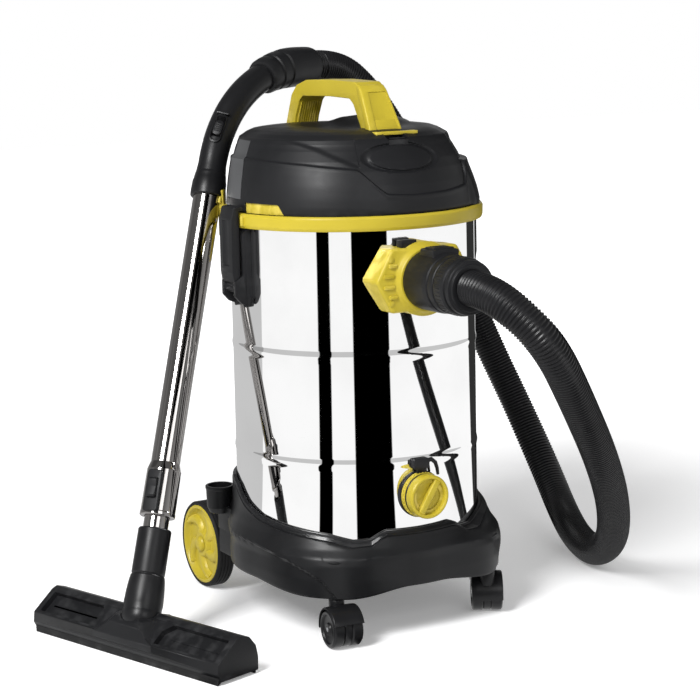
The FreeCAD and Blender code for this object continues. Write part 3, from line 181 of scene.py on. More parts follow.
def lathe(profile, where=UPRIGHT, steps=96, start=0.0, turn=360.0):
    """Turn a closed (radius, height) outline about a place's own Z."""
    whole = turn >= 360
    count = steps if whole else steps + 1
    rows = []
    for index in range(count):
        angle = radians(start + turn * index / steps)
        across, along = cos(angle), sin(angle)
        rows.append([where.to((r * across, r * along, z)) for r, z in profile])
    if whole:
        return grid(rows + rows[:1])
    return grid(rows, caps=True)


def bore(radius, low, high, where=UPRIGHT, steps=96):
    """A plain round tool for a hole."""
    return lathe([(0.001, low), (radius, low), (radius, high), (0.001, high)], where, steps)


def prism(outline, low, high, where=UPRIGHT):
    """Raise a flat outline between two heights of a place."""
    rows = [[where.to((x, y, z)) for x, y in outline] for z in (low, high)]
    return grid(rows, caps=True)


def round_spot(radius, turn, z, forward=0):
    """A point round the drum's axis, by its turn from the front towards +X."""
    return UPRIGHT.to((radius * sin(turn), forward - radius * cos(turn), z))


def pipe(stations, steps=32, side=None):
    """A round solid through (point, radius) stations, in millimetres from the drum's axis."""
    points = [Vector(point) for point, _ in stations]
    rows = []
    normal = side
    for index, (point, (_, radius)) in enumerate(zip(points, stations)):
        ahead = points[min(index + 1, len(points) - 1)] - points[max(index - 1, 0)]
        ahead.normalize()
        if normal is None:
            normal = ahead.orthogonal()
        normal = (normal - ahead * normal.dot(ahead)).normalized()
        other = ahead.cross(normal)
        rows.append([AXIS + MM * (point + normal * (radius * cos(turn)) + other * (radius * sin(turn)))
                     for turn in (2 * pi * step / steps for step in range(steps))])
    return grid(rows, caps=True)


def slab(low, high, where=UPRIGHT, radius=1.0, steps=3):
    """A box with its four upright edges rounded."""
    corners = [(low[0], low[1]), (high[0], low[1]), (high[0], high[1]), (low[0], high[1])]
    return prism(rounded(corners, radius, steps), low[2], high[2], where)


# ------------------------------------------------------------------ objects

def merged(parts):
    verts, faces = [], []
    for some_verts, some_faces in parts:
        base = len(verts)
        verts.extend(some_verts)
        faces.extend(tuple(base + index for index in face) for face in some_faces)
    return verts, faces


def raw(name, parts):
    verts, faces = merged(parts)
    mesh = bpy.data.meshes.new(name)
    mesh.from_pydata([tuple(vert) for vert in verts], [], faces)
    bm = bmesh.new()
    bm.from_mesh(mesh)
    bmesh.ops.remove_doubles(bm, verts=bm.verts, dist=2e-6)
    bmesh.ops.dissolve_degenerate(bm, edges=bm.edges, dist=1e-7)
    bmesh.ops.recalc_face_normals(bm, faces=bm.faces)
    bm.to_mesh(mesh)
    bm.free()
    obj = bpy.data.objects.new(name, mesh)
    SCENE.collection.objects.link(obj)
    return obj


def settled(obj):
    """Put an object's modifiers into its mesh."""
    bpy.context.view_layer.update()
    graph = bpy.context.evaluated_depsgraph_get()
    mesh = bpy.data.meshes.new_from_object(obj.evaluated_get(graph))
    obj.modifiers.clear()
    obj.data = mesh


def combine(obj, other, operation):
    """Cut, join or intersect an object with another, which is used up."""
    change = obj.modifiers.new("carve", "BOOLEAN")
    change.operation = operation
    change.solver = "EXACT"
    change.object = other
    settled(obj)
    bpy.data.objects.remove(other)


def carve(obj, parts, operation="DIFFERENCE"):
    combine(obj, raw("cutter", parts), operation)


def soften(obj, width, steps=2, angle=32):
    change = obj.modifiers.new("soften", "BEVEL")
    change.width = width * MM
    change.segments = steps
    change.limit_method = "ANGLE"
    change.angle_limit = radians(angle)
    settled(obj)


def dress(obj, material, body, sharp=32, replaces=()):
    """Shade a finished piece, give it its material and let it ride."""
    mesh = obj.data
    mesh.polygons.foreach_set("use_smooth", [True] * len(mesh.polygons))
    mesh.set_sharp_from_angle(angle=radians(sharp))
    mesh.materials.clear()
    mesh.materials.append(material)
    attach(obj, body)
    if replaces:
        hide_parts(*replaces)


def piece(name, parts, material, body, bevel=0, sharp=32, replaces=()):
    obj = raw(name, parts)
    if bevel:
        soften(obj, bevel)
    dress(obj, material, body, sharp, replaces)


# ------------------------------------------------------------------ materials

def feed(tree, socket, source):
    """Link a socket to another, or give it a plain value."""
    if isinstance(source, bpy.types.NodeSocket):
        tree.links.new(source, socket)
    else:
        socket.default_value = source


def add(tree, kind, *sources, named=None, **settings):
    """A new node of a kind; its sources go into its sockets in order or by name."""
    node = tree.nodes.new("ShaderNode" + kind)
    for name, value in settings.items():
        setattr(node, name, value)
    for socket, source in zip(node.inputs, sources):
        feed(tree, socket, source)
    for name, source in (named or {}).items():
        feed(tree, node.inputs[name], source)
    return node


def ramp(tree, value, low, high, start, end):
    ends = {"Value": value, "From Min": low, "From Max": high, "To Min": start, "To Max": end}
    return add(tree, "MapRange", named=ends).outputs["Result"]


class Paint:
    """A node material that is built up a layer at a time."""

    def __init__(self, name, metal=0.0, specular=0.5):
        self.material = bpy.data.materials.new(name)
        self.material.use_nodes = True
        self.tree = self.material.node_tree
        self.shader = self.tree.nodes["Principled BSDF"]
        self.shader.inputs["Metallic"].default_value = metal
        self.shader.inputs["Specular IOR Level"].default_value = specular
        self.coords = add(self.tree, "TexCoord").outputs["Object"]

    def noise(self, scale, detail, low, high, start, end):
        """Noise whose middle, from low to high, is spread from start to end."""
        return ramp(self.tree, self.cloud(scale, detail), low, high, start, end)

    def cloud(self, scale, detail, stretch=None):
        place = self.coords
        if stretch:
            place = add(self.tree, "Mapping", named={"Vector": place, "Scale": stretch}).outputs["Vector"]
        named = {"Vector": place, "Scale": scale, "Detail": detail}
        return add(self.tree, "TexNoise", named=named).outputs["Fac"]

    def mix(self, factor, first, second):
        node = add(self.tree, "Mix", factor, data_type="RGBA")
        for slot, value in (("A", first), ("B", second)):
            target = next(item for item in node.inputs if item.name == slot and item.type == "RGBA")
            feed(self.tree, target, (*value, 1) if isinstance(value, tuple) else value)
        return next(item for item in node.outputs if item.type == "RGBA")

    def edges(self):
        """One along convex outer edges, where the highlight is painted."""
        return ramp(self.tree, add(self.tree, "NewGeometry").outputs["Pointiness"], 0.52, 0.62, 0, 1)

    def bump(self, height, strength, distance, under=None):
        named = {"Strength": strength, "Distance": distance, "Height": height}
        if under is not None:
            named["Normal"] = under
        return add(self.tree, "Bump", named=named).outputs["Normal"]

    def finish(self, slot, color, rough, normal):
        for name, value in (("Base Color", color), ("Roughness", rough), ("Normal", normal)):
            self.tree.links.new(value, self.shader.inputs[name])
        FINISHES.setdefault(slot, self.material)
        return self.material


# The record's slot for each material, and the first material of each slot.
FINISHES = {}


def moulded(name, slot, color, rough, specular=0.4, grain=0.12, grain_scale=1400, mottle=0.14, edge_highlight=None):
    """Moulded plastic: faint mottling, fine spark-eroded grain, and a painted highlight: lighter colour in
    patches along convex edges.
    """
    paint = Paint(name, specular=specular)
    dark = tuple(channel * (1 - mottle) for channel in color)
    light = tuple(min(1, channel * (1 + mottle)) for channel in color)
    body = paint.mix(paint.noise(11, 4, 0.35, 0.65, 0, 1), dark, light)
    # Convex edges are painted lighter in patches: a painted highlight, not wear.
    edge_highlight_color = edge_highlight or tuple(min(1, channel * 1.5 + 0.02) for channel in color)
    edge_highlight_mask = add(paint.tree, "Math", paint.edges(), paint.noise(60, 5, 0.45, 0.7, 0, 0.7),
                 operation="MULTIPLY")
    uneven = paint.noise(23, 5, 0.3, 0.7, rough - 0.06, rough + 0.07)
    fine = paint.bump(paint.cloud(grain_scale, 2), grain, 0.0004)
    waves = paint.bump(paint.cloud(18, 1), 0.05, 0.002, fine)
    return paint.finish(slot, paint.mix(edge_highlight_mask.outputs[0], body, edge_highlight_color), uneven, waves)


def polished(name, slot, color, low, high, wave=0.02, scratch=0.03, along=(1, 1, 26)):
    """Bright metal with faint ripples, hairlines and handling marks."""
    paint = Paint(name, metal=1.0)
    dull = tuple(channel * 0.93 for channel in color)
    smeared = paint.mix(paint.noise(9, 5, 0.42, 0.72, 0, 1), color, dull)
    fine = paint.bump(paint.cloud(90, 3, along), scratch, 0.0001)
    ripple = paint.bump(paint.cloud(5, 1), wave, 0.003, fine)
    return paint.finish(slot, smeared, paint.noise(16, 6, 0.4, 0.75, low, high), ripple)


BLACK = moulded("black_moulding", "black_plastic", (0.0085, 0.0087, 0.0098), 0.42, specular=0.27)
BLACK_SATIN = moulded("black_satin", "black_plastic", (0.0075, 0.0076, 0.0085), 0.36, specular=0.28,
                      grain=0.06)
BLACK_BASE = moulded("black_base", "black_plastic", (0.0075, 0.0077, 0.0086), 0.38, specular=0.27)
# Its lighter yellow edge colour is the painted highlight along convex edges.
YELLOW = moulded("yellow_moulding", "yellow_plastic", (0.45, 0.355, 0.026), 0.36, specular=0.3, grain=0.05,
                 mottle=0.05, edge_highlight=(0.86, 0.70, 0.16))
RUBBER = moulded("rubber", "rubber", (0.009, 0.009, 0.0095), 0.62, specular=0.25, grain=0.3, grain_scale=900)
HOSE_SKIN = moulded("hose_skin", "hose_plastic", (0.0075, 0.0075, 0.0085), 0.32, specular=0.3, grain=0.05)
STEEL = polished("drum_steel", "polished_steel", (0.955, 0.955, 0.955), 0.012, 0.05, wave=0.012, scratch=0.01,
                 along=(1, 1, 14))
CHROME = polished("tube_chrome", "chromed_tube", (0.36, 0.345, 0.335), 0.05, 0.12, along=(40, 40, 1))
polished("cast_aluminium", "aluminium", (0.72, 0.73, 0.74), 0.34, 0.5, scratch=0.15)
PLATE = polished("label_film", "aluminium", (0.30, 0.305, 0.315), 0.42, 0.5, scratch=0.02)
# The finishes of the CAD solids that stay in view.
polished("zinc_steel", "zinc_steel", (0.55, 0.56, 0.58), 0.28, 0.42, scratch=0.1)
moulded("filter_paper", "filter_paper", (0.78, 0.74, 0.62), 0.85, specular=0.2, grain=0.5, grain_scale=500)
moulded("pale_plastic", "float_plastic", (0.70, 0.70, 0.66), 0.45)
moulded("motor_paint", "motor_steel", (0.20, 0.20, 0.21), 0.4)


# ------------------------------------------------------------------ camera, light and floor

# Where the camera stands in millimetres, and its turn, dip and roll in degrees.
EYE = (-1325.79, -2337.02, 821.69)
EYE_TURN, EYE_DIP, EYE_ROLL = -29.44, 9.86, 1.25
LENS = 102.8


def camera():
    turn, dip, roll = (radians(value) for value in (EYE_TURN, EYE_DIP, EYE_ROLL))
    right = Vector((cos(turn), sin(turn), 0))
    back = Vector((sin(turn) * cos(dip), -cos(turn) * cos(dip), sin(dip)))
    up = back.cross(right)
    side = right * cos(roll) - up * sin(roll)
    over = right * sin(roll) + up * cos(roll)
    data = bpy.data.cameras.new("camera")
    data.sensor_width = 36
    data.lens = LENS
    data.clip_end = 50
    eye = bpy.data.objects.new("camera", data)
    SCENE.collection.objects.link(eye)
    facing = Matrix((side, over, back)).transposed().to_4x4()
    eye.matrix_world = Matrix.Translation(UPRIGHT.to(EYE)) @ facing
    SCENE.camera = eye


def lamp(name, place, target, size, power):
    data = bpy.data.lights.new(name, "AREA")
    data.shape = "RECTANGLE"
    data.size, data.size_y = size
    data.energy = power
    light = bpy.data.objects.new(name, data)
    SCENE.collection.objects.link(light)
    light.location = place
    light.rotation_euler = (Vector(target) - Vector(place)).to_track_quat("-Z", "Y").to_euler()


def studio():
    """A tall soft key to the left of the camera, and a weak fill to its right."""
    middle = UPRIGHT.to((0, 0, 330))
    lamps = (("key", 207, 40, 4.2, (1.1, 1.7), 190), ("fill", 262, 24, 3.6, (1.6, 1.2), 18))
    for name, bearing, rise, far, size, power in lamps:
        flat, up = radians(bearing), radians(rise)
        way = Vector((cos(flat) * cos(up), sin(flat) * cos(up), sin(up)))
        lamp(name, middle + way * far, middle, size, power)


# Cards stood round the studio for the polished drum to mirror: the first and
# last bearing of each from the drum's axis in degrees, and its brightness.
CARD_EDGE = 0.35
CARDS = [(-152.0, -140.5, 0.0), (-120.5, -88.0, 0.0), (14.0, 44.0, 0.03), (77.0, 147.0, 0.58)]


def cards(tree, place):
    """Studio brightness by bearing: white, with darker cards in it."""
    apart = add(tree, "SeparateXYZ", place).outputs
    bearing = add(tree, "Math", apart["Y"], apart["X"], operation="ARCTAN2").outputs[0]
    total = 1
    for first, last, light in CARDS:
        middle, half = 0.5 * (first + last), 0.5 * (last - first)
        apart = add(tree, "Math", bearing, radians(middle), operation="SUBTRACT").outputs[0]
        size = add(tree, "Math", apart, operation="ABSOLUTE").outputs[0]
        step = ramp(tree, size, radians(half - CARD_EDGE), radians(half + CARD_EDGE), light, 1)
        total = add(tree, "Math", total, step, operation="MULTIPLY").outputs[0]
    return total


def world():
    """White to the camera, plain light on the object, and cards for its reflections."""
    SCENE.world = bpy.data.worlds.new("studio")
    SCENE.world.use_nodes = True
    tree = SCENE.world.node_tree
    tree.nodes.clear()
    path = add(tree, "LightPath").outputs
    way = add(tree, "TexCoord").outputs["Generated"]
    # The studio's walls and ceiling are dimmer than its floor, so dark plastic stays dark.
    ceiling = ramp(tree, add(tree, "SeparateXYZ", way).outputs["Z"], 0.22, 0.5, 0.55, 0.2)
    bright = add(tree, "Math", cards(tree, way), ceiling, operation="MULTIPLY").outputs[0]
    plain, mirrored, seen = (add(tree, "Background", (level, level, level, 1), strength).outputs[0]
                             for level, strength in ((1, 0.42), (1.06, bright), (1, 1)))
    lit = add(tree, "MixShader", path["Is Glossy Ray"], plain, mirrored).outputs[0]
    straight = add(tree, "Math", path["Is Camera Ray"], path["Is Transmission Ray"],
                   operation="MAXIMUM").outputs[0]
    add(tree, "OutputWorld", add(tree, "MixShader", straight, lit, seen).outputs[0])


def floor():
    """A pale sheet that keeps the shadow and runs out into plain white, with painted light: to the camera it
    glows, more with distance from the drum, and to glossy rays it glows with the cards, a painted reflection.
    """
    half, sunk = 9.0, -0.0004
    mesh = bpy.data.meshes.new("floor")
    corners = [(-half, -half, sunk), (half, -half, sunk), (half, half, sunk), (-half, half, sunk)]
    mesh.from_pydata(corners, [], [(0, 1, 2, 3)])
    sheet = bpy.data.objects.new("floor", mesh)
    SCENE.collection.objects.link(sheet)
    material = bpy.data.materials.new("floor")
    material.use_nodes = True
    tree = material.node_tree
    tree.nodes.clear()
    path = add(tree, "LightPath").outputs
    matt = add(tree, "BsdfDiffuse", (0.95, 0.95, 0.955, 1)).outputs[0]
    place = add(tree, "TexCoord").outputs["Object"]
    place = add(tree, "VectorMath", place, AXIS, operation="SUBTRACT").outputs[0]
    far = add(tree, "VectorMath", place, operation="LENGTH").outputs["Value"]
    # A painted glow for the camera, weak by the drum and strong far out, whitens the floor beyond the shadow.
    lift = add(tree, "Emission", named={"Strength": ramp(tree, far, 0.85, 1.9, 0.20, 0.95)}).outputs[0]
    lifted = add(tree, "AddShader", matt, lift).outputs[0]
    # To glossy rays the floor glows with the card pattern: a painted reflection for the drum.
    mirrored = add(tree, "Emission", named={"Strength": cards(tree, place)}).outputs[0]
    seen = add(tree, "MixShader", path["Is Camera Ray"], matt, lifted).outputs[0]
    add(tree, "OutputMaterial", add(tree, "MixShader", path["Is Glossy Ray"], seen, mirrored).outputs[0])
    mesh.materials.append(material)


# ------------------------------------------------------------------ the hose

# From the connector, down over the floor and up again to the cuff.
HOSE_ROUTE = [(0, -297, 473), (0, -333, 473), (20, -376, 445), (52, -392, 404), (109, -360, 334),
              (200, -292, 232), (285, -206, 140), (345, -124, 62), (366, -56, 24), (390, 22, 24),
              (414, 92, 46), (423, 148, 98), (412, 206, 188), (384, 241, 278), (350, 257, 366),
              (313, 265, 464), (269, 266, 558), (221, 267, 640), (181, 269, 693), (133, 264.8, 731),
              (88.7, 249.2, 731.5)]
# The hose's ribs: their pitch, and a round crest, two flanks and a root by share of it.
RIB_PITCH = 4.8
RIB = [(0.0, 23.0), (0.17, 22.85), (0.36, 21.75), (0.56, 21.15), (0.76, 21.75), (0.93, 22.85)]


def line_of(points):
    """The smooth line that a hose takes along its route."""
    data = bpy.data.curves.new("route", "CURVE")
    data.dimensions = "3D"
    data.resolution_u = 16
    spline = data.splines.new("NURBS")
    spline.points.add(len(points) - 1)
    for point, place in zip(spline.points, points):
        point.co = (*UPRIGHT.to(place), 1)
    spline.order_u = 3
    spline.use_endpoint_u = True
    route = bpy.data.objects.new("route", data)
    SCENE.collection.objects.link(route)
    bpy.context.view_layer.update()
    mesh = bpy.data.meshes.new_from_object(route.evaluated_get(bpy.context.evaluated_depsgraph_get()))
    line = [vert.co.copy() for vert in mesh.vertices]
    bpy.data.objects.remove(route)
    return line


def hose():
    line = line_of(HOSE_ROUTE)
    reach = [0.0]
    for first, second in zip(line, line[1:]):
        reach.append(reach[-1] + (second - first).length)
    count = round(reach[-1] / (RIB_PITCH * MM))
    rows = []
    here = 0
    side = Vector((0, 0, 1))
    for rib in range(count):
        for share, radius in RIB:
            along = reach[-1] * (rib + share) / count
            while here < len(reach) - 2 and reach[here + 1] < along:
                here += 1
            part = (along - reach[here]) / (reach[here + 1] - reach[here])
            point = line[here].lerp(line[here + 1], part)
            low, high = line[max(here - 1, 0)], line[min(here + 2, len(line) - 1)]
            before = (line[here] - low).normalized() if here else (line[1] - line[0]).normalized()
            after = (high - line[here + 1]).normalized() if here < len(line) - 2 else before
            ahead = (line[here + 1] - line[here]).normalized()
            way = (before * (1 - part) + ahead + after * part).normalized()
            side = (side - way * side.dot(way)).normalized()
            other = way.cross(side)
            rows.append([point + (side * cos(turn) + other * sin(turn)) * (radius * MM)
                         for turn in (2 * pi * step / 28 for step in range(28))])
    tube = raw("suction_hose", [grid(rows, caps=True)])
    dress(tube, HOSE_SKIN, "chassis", sharp=60, replaces=("hose",))


# ------------------------------------------------------------------ the motor head

# Height, radius and centre of the hood's sections.
HOOD = [(555, 168.0, 0), (560, 167.9, 0.2), (576, 166.3, 1.4), (592, 163.8, 3.0), (609.6, 160.0, 5.2),
        (622, 156.3, 8.0), (634.8, 150.6, 12.0), (643, 145.8, 14.2), (648.6, 141.4, 15.8),
        (650.4, 137.8, 16.4), (654.5, 131.0, 17.6), (657.9, 122.0, 19.0), (659.4, 110.0, 19.6),
        (660, 98.0, 20.0)]
HOOD_RADIUS = [(z, radius) for z, radius, _ in HOOD]
HOOD_MIDDLE = [(z, middle) for z, _, middle in HOOD]
# Height of the moulded ledge by angle from the front, towards +X.
LEDGE = [(-180, 622), (-85, 625), (-50, 619), (-25, 612), (-17.5, 592), (-13, 581), (0, 578.5), (20, 580),
         (38, 584), (41.5, 600), (43, 614), (60, 615), (120, 617), (150, 620), (180, 622)]
# Height of the crease in the left shoulder, by the same angle.
FOLD = [(-78, 654), (-60, 647), (-44, 636), (-32, 622), (-25, 614)]


def ledge_height(angle):
    return sum(between(angle + shift, LEDGE) for shift in (-1.2, -0.6, 0, 0.6, 1.2)) / 5


def hood_inset(angle, z):
    """How far the hood's face lies inside its plain section."""
    ledge = ledge_height(angle)
    deep = 2.4 + 5.2 * eased(angle, 40, 46) * (1 - eased(angle, 120, 150))
    deep *= 1 - 0.75 * eased(z, 636, 652)
    inset = deep * eased(z, ledge - 0.7, ledge + 1.0)
    inset -= 0.8 * eased(z, ledge - 7, ledge - 1.5) * (1 - eased(z, ledge - 1.2, ledge - 0.2))
    fairing = eased(angle, 39, 44) * (1 - eased(angle, 118, 132))
    inset -= fairing * (5.4 - 5.4 * eased(z, 556, 620)) * (1 - eased(z, ledge - 0.5, ledge + 0.5))
    if -80 < angle < -24:
        line = between(angle, FOLD)
        inset += 2.2 * eased(z, line - 0.5, line + 3.5) * eased(angle, -80, -60) * (1 - eased(z, 640, 656))
    # The oval dial plate in the front shoulder, with its groove.
    across = radians(angle) * 150 + 3
    slope = (z - 625) / 0.863
    oval = hypot(across / 51, slope / 19.7)
    edge = (oval - 1) * 20
    inset += 3.4 * max(0, 1 - (abs(edge) / 2.3) ** 2) + 0.9 * eased(1 - oval, 0, 0.1)
    return inset


def hood_point(angle, z, out=0.0):
    radius = between(z, HOOD_RADIUS) - hood_inset(angle, z) + out
    turn = radians(angle)
    return (radius * sin(turn), between(z, HOOD_MIDDLE) - radius * cos(turn), z)


def hood_angles():
    fine = [-26 + 0.5 * step for step in range(146)]
    left = [-180 + 2 * step for step in range(77)]
    right = [47 + 1.9 * step for step in range(70)]
    return sorted(set(left + fine + right))


def hood_row(angles, height, out=0.0):
    """One ring of the shell, at a height that may change with the angle."""
    return [UPRIGHT.to(hood_point(a, height(a), out)) for a in angles]


def hood():
    angles = hood_angles()
    rows = [hood_row(angles, lambda a: z, out) for z, out in ((649.0, -32), (640.0, -13), (620.0, -7),
                                                              (590.0, -5), (556.2, -4.5), (555.0, -2.5),
                                                              (555.0, -0.8))]
    for step in range(1, 13):
        rows.append(hood_row(angles, lambda a: 555 + (ledge_height(a) - 556.3) * (step / 12) ** 0.9))
    for rise in (-0.75, -0.2, 0.35, 0.9):
        rows.append(hood_row(angles, lambda a: ledge_height(a) + rise))
    for step in range(1, 61):
        rows.append(hood_row(angles, lambda a: ledge_height(a)
                             + 1.6 + (660 - ledge_height(a) - 1.6) * (step / 60)))
    # The crown, inwards to its middle.
    for step in range(1, 31):
        row = []
        for a in angles:
            x, y, z = hood_point(a, 660.0)
            share = 1 - step / 31
            x, y = x * share, 20 + (y - 20) * share
            scoop = (1 - eased(abs(x), 30, 62)) * eased(y, -70, -40) * (1 - eased(y, 60, 100))
            # A dome over the motor rises beside and behind the hollow for the hand.
            mound = eased(x, 16, 38) * (1 - eased(hypot(x - 38, y - 36), 40, 78))
            row.append(UPRIGHT.to((x, y, z + 0.5 * (1 - share * share) - 5.5 * scoop + 9 * mound)))
        rows.append(row)
    verts, faces = grid(rows)
    middle = len(verts)
    verts.append(UPRIGHT.to((0, 20, 655)))
    last = middle - len(angles)
    faces += [(last + i, last + (i + 1) % len(angles), middle) for i in range(len(angles))]
    inside = len(verts)
    verts.append(UPRIGHT.to((0, 16, 649)))
    faces += [((i + 1) % len(angles), i, inside) for i in range(len(angles))]
    shell = raw("hood_shell", [(verts, faces)])
    # The switch's well in the front shoulder, and the hole for the cable gland.
    carve(shell, [slab((-15, -129, 634.6), (15, -103.5, 680), radius=3)])
    carve(shell, [bore(7.2, -30, 30, Place((0, 168, 575), (1, 0, 0), (0, 1, 0)), 32)])
    # The notch beside the left latch, in which the yellow deck shows.
    wall = []
    for a in range(-85, -58):
        low, high = 554.0, 554 + 14.5 * (1 - eased(a, -64, -59.5))
        wall.append([round_spot(r, radians(a), z, 1) for r, z in ((164.6, low), (176, low), (176, high),
                                                                  (164.6, high))])
    carve(shell, [grid(wall, caps=True)])
    dress(shell, BLACK, "head", sharp=38, replaces=("motor_hood",))
    deck = []
    for a in range(-86, -56):
        deck.append([round_spot(r, radians(a), z, 1) for r, z in ((163.6, 555.2), (165.3, 555.2),
                                                                  (165.0, 569), (163.4, 569))])
    piece("notch_deck", [grid(deck, caps=True)], YELLOW, "head")
    label = []
    for step in range(15):
        a = -107.5 + 18.5 * step / 14
        label.append([UPRIGHT.to(hood_point(a, z, out)) for z, out in [(572, 0.15), (572, 0.6)]
                      + [(572 + 74 * k / 16, 0.6) for k in range(1, 16)] + [(646, 0.6), (646, 0.15)]
                      + [(646 - 74 * k / 16, 0.15) for k in range(1, 16)]])
    piece("blank_label", [grid(label, caps=True)], PLATE, "head")


HANDLE_OUTER = [(-101, 643, 1), (-93, 662, 8), (-64, 710, 14), (-50, 719, 12), (20, 720.5, 60), (85, 719, 18),
                (112, 712, 16), (128, 698, 14), (152, 643, 1)]
HANDLE_INNER = [(126, 643, 1), (118, 668, 8), (106, 690, 10), (96, 697, 10), (20, 698.5, 50), (-34, 697, 10),
                (-44, 690, 8), (-66, 655, 8), (-74, 643, 1)]
SIDEWAYS = Place((0, 0, 0), (0, 1, 0), (1, 0, 0))


def carry_handle():
    outline = rounded(HANDLE_OUTER + HANDLE_INNER, steps=6)
    bar = raw("carry_handle_shell", [prism(outline, -19, 19, SIDEWAYS)])
    soften(bar, 5.5, 4, angle=50)
    dress(bar, YELLOW, "head", sharp=40, replaces=("carry_handle",))
    # The wide front shield with its sunk panel, flaring down to the foot flange.
    rows, tool = [], []
    for z, y, wide in ((643, -102, 26.0), (662, -94.2, 24.6), (690, -77.6, 22.0), (708, -66.6, 20.4),
                       (715.5, -59, 19.4)):
        rows.append([UPRIGHT.to(spot) for spot in ((-wide, y, z), (wide, y, z), (wide - 1.5, y + 15, z),
                                                   (-wide + 1.5, y + 15, z))])
    shield = raw("handle_shield", [grid(rows, caps=True)])
    soften(shield, 2.4, 3, angle=40)
    for z, y, wide in ((649, -100.2, 26.0), (662, -94.6, 24.8), (690, -78.0, 22.2), (706, -68.2, 20.6)):
        tool.append([UPRIGHT.to(spot) for spot in ((-wide + 11, y + 1.7, z), (wide - 4, y + 1.7, z),
                                                   (wide - 3, y - 9, z), (-wide + 10, y - 9, z))])
    carve(shield, [grid(tool, caps=True)])
    soften(shield, 0.5, 2, angle=40)
    dress(shield, YELLOW, "head", sharp=35)
    flange = [slab((-26, -113.5, 652.4), (38.5, -96, 656.6), radius=2.5),
              slab((15.5, -113.4, 645), (17.5, -104, 654), radius=0.5)]
    piece("handle_flange", flange, YELLOW, "head", bevel=0.9)
    rear = [(120.4, 660), (117.6, 668), (107.4, 689), (105.6, 688), (115.6, 667), (118.6, 659)]
    front = [(-46.5, 686), (-66.5, 654.5), (-64.4, 653.6), (-44.6, 685)]
    middles = [-14 + 3.5 * step for step in range(9)]
    ribs = [prism(edge, x - 0.8, x + 0.8, SIDEWAYS) for edge in (rear, front) for x in middles]
    piece("handle_ribs", ribs, YELLOW, "head")


def clamp_ring():
    profile = rounded([(171.2, 536, 0.6), (175.2, 536, 1.2), (176.6, 540, 3), (176.9, 552, 1.5),
                       (174.8, 555, 1.2), (170.2, 555, 0.4), (170.2, 549.2, 0.4), (140, 549.2, 0.4),
                       (140, 548.2, 0.3), (158, 548.2, 0.3), (171.2, 548.2, 0.3)], steps=3)
    piece("clamp_ring", [lathe(profile, steps=192)], YELLOW, "head", sharp=30, replaces=("lid_ring",))
    # Two short ears that frame each latch.
    for side, word in SIDES.items():
        ears = []
        for way in (-1, 1):
            a = 180 if side < 0 else 0
            out = []
            for turn in (7.2, 8.6):
                spot = radians(a + way * turn)
                out.append([UPRIGHT.to((r * cos(spot), r * sin(spot), z))
                            for r, z in ((173, 537), (180.5, 540), (180.5, 552), (173, 555))])
            ears.append(grid(out, caps=True))
        piece("ring_ears_" + word, ears, YELLOW, "head", bevel=0.6)


# ------------------------------------------------------------------ the drum and its base

DRUM_RADIUS, DRUM_INSIDE = 165, 164
BEADS = (231.3, 372.9)
BEAD_RISE, BEAD_HALF = 1.1, 9


def drum_wall():
    outer = [(150, 116), (163, 116), (164.5, 117.2), (DRUM_RADIUS, 120)]
    for z in BEADS:
        outer.append((DRUM_RADIUS, z - 9.5))
        outer += [(DRUM_RADIUS + BEAD_RISE / 2 * (1 + cos(pi * k / BEAD_HALF)), z + k)
                  for k in range(-BEAD_HALF, BEAD_HALF + 1)]
        outer.append((DRUM_RADIUS, z + 9.5))
    outer += [(DRUM_RADIUS, 538.5), (165.6, 539.6), (167.4, 540), (169, 541.2), (169.5, 543), (169, 544.8),
              (167.4, 546)]
    inner = [(164.4, 545), (DRUM_INSIDE, 538)]
    for z in reversed(BEADS):
        inner += [(DRUM_INSIDE, z + 9.5), (166.2, z), (DRUM_INSIDE, z - 9.5)]
    inner += [(DRUM_INSIDE, 120), (162.6, 117.2), (150, 117)]
    drum = raw("drum_wall", [lathe(outer + inner, steps=288)])
    carve(drum, [bore(36.5, 100, 200, INLET, 48)])
    carve(drum, [bore(20, 100, 200, DRAIN, 48)])
    pan = lathe([(0.001, 116), (150, 116), (151, 116.4), (151, 117), (0.001, 117)])
    carve(drum, [pan], "UNION")
    dress(drum, STEEL, "chassis", sharp=40, replaces=("drum",))
    mesh = drum.data
    # The plain parts of the wall take the true cylinder's normals.
    normals = [(0.0, 0.0, 0.0)] * len(mesh.loops)
    for face in mesh.polygons:
        for loop in face.loop_indices:
            spot = mesh.vertices[mesh.loops[loop].vertex_index].co - AXIS
            flat = Vector((spot.x, spot.y, 0))
            outside = flat.length > 0.1648 and abs(face.normal.z) < 0.9 and face.normal.dot(flat) > 0.05
            if outside and 0.119 < spot.z < 0.5386:
                tilt = 0.0
                for z in BEADS:
                    k = spot.z / MM - z
                    if abs(k) < BEAD_HALF:
                        tilt = BEAD_RISE / 2 * pi / BEAD_HALF * sin(pi * k / BEAD_HALF)
                normals[loop] = tuple((flat.normalized() + Vector((0, 0, tilt))).normalized())
    mesh.normals_split_custom_set(normals)


# Height of the skirt's upper rim, by angle from the front.
BASE_RIM = [(0, 143), (17, 143.5), (20, 140), (24, 133), (32, 131.5), (43, 139), (63, 146), (80, 154),
            (92, 166), (102, 183), (112, 190), (120, 190)]
# The sunk side faces end along this line, by angle from the front.
SIDE_FACE = [(36, 50), (39, 66), (43.5, 86), (50, 98), (58, 107), (69, 114), (80, 118), (126, 122)]


def base_foot(turn):
    """Height of the skirt's lower edge, lowest at the castors."""
    return 61 + 8 * (1 - eased(turn, 8, 34)) + 8 * eased(turn, 48, 84)


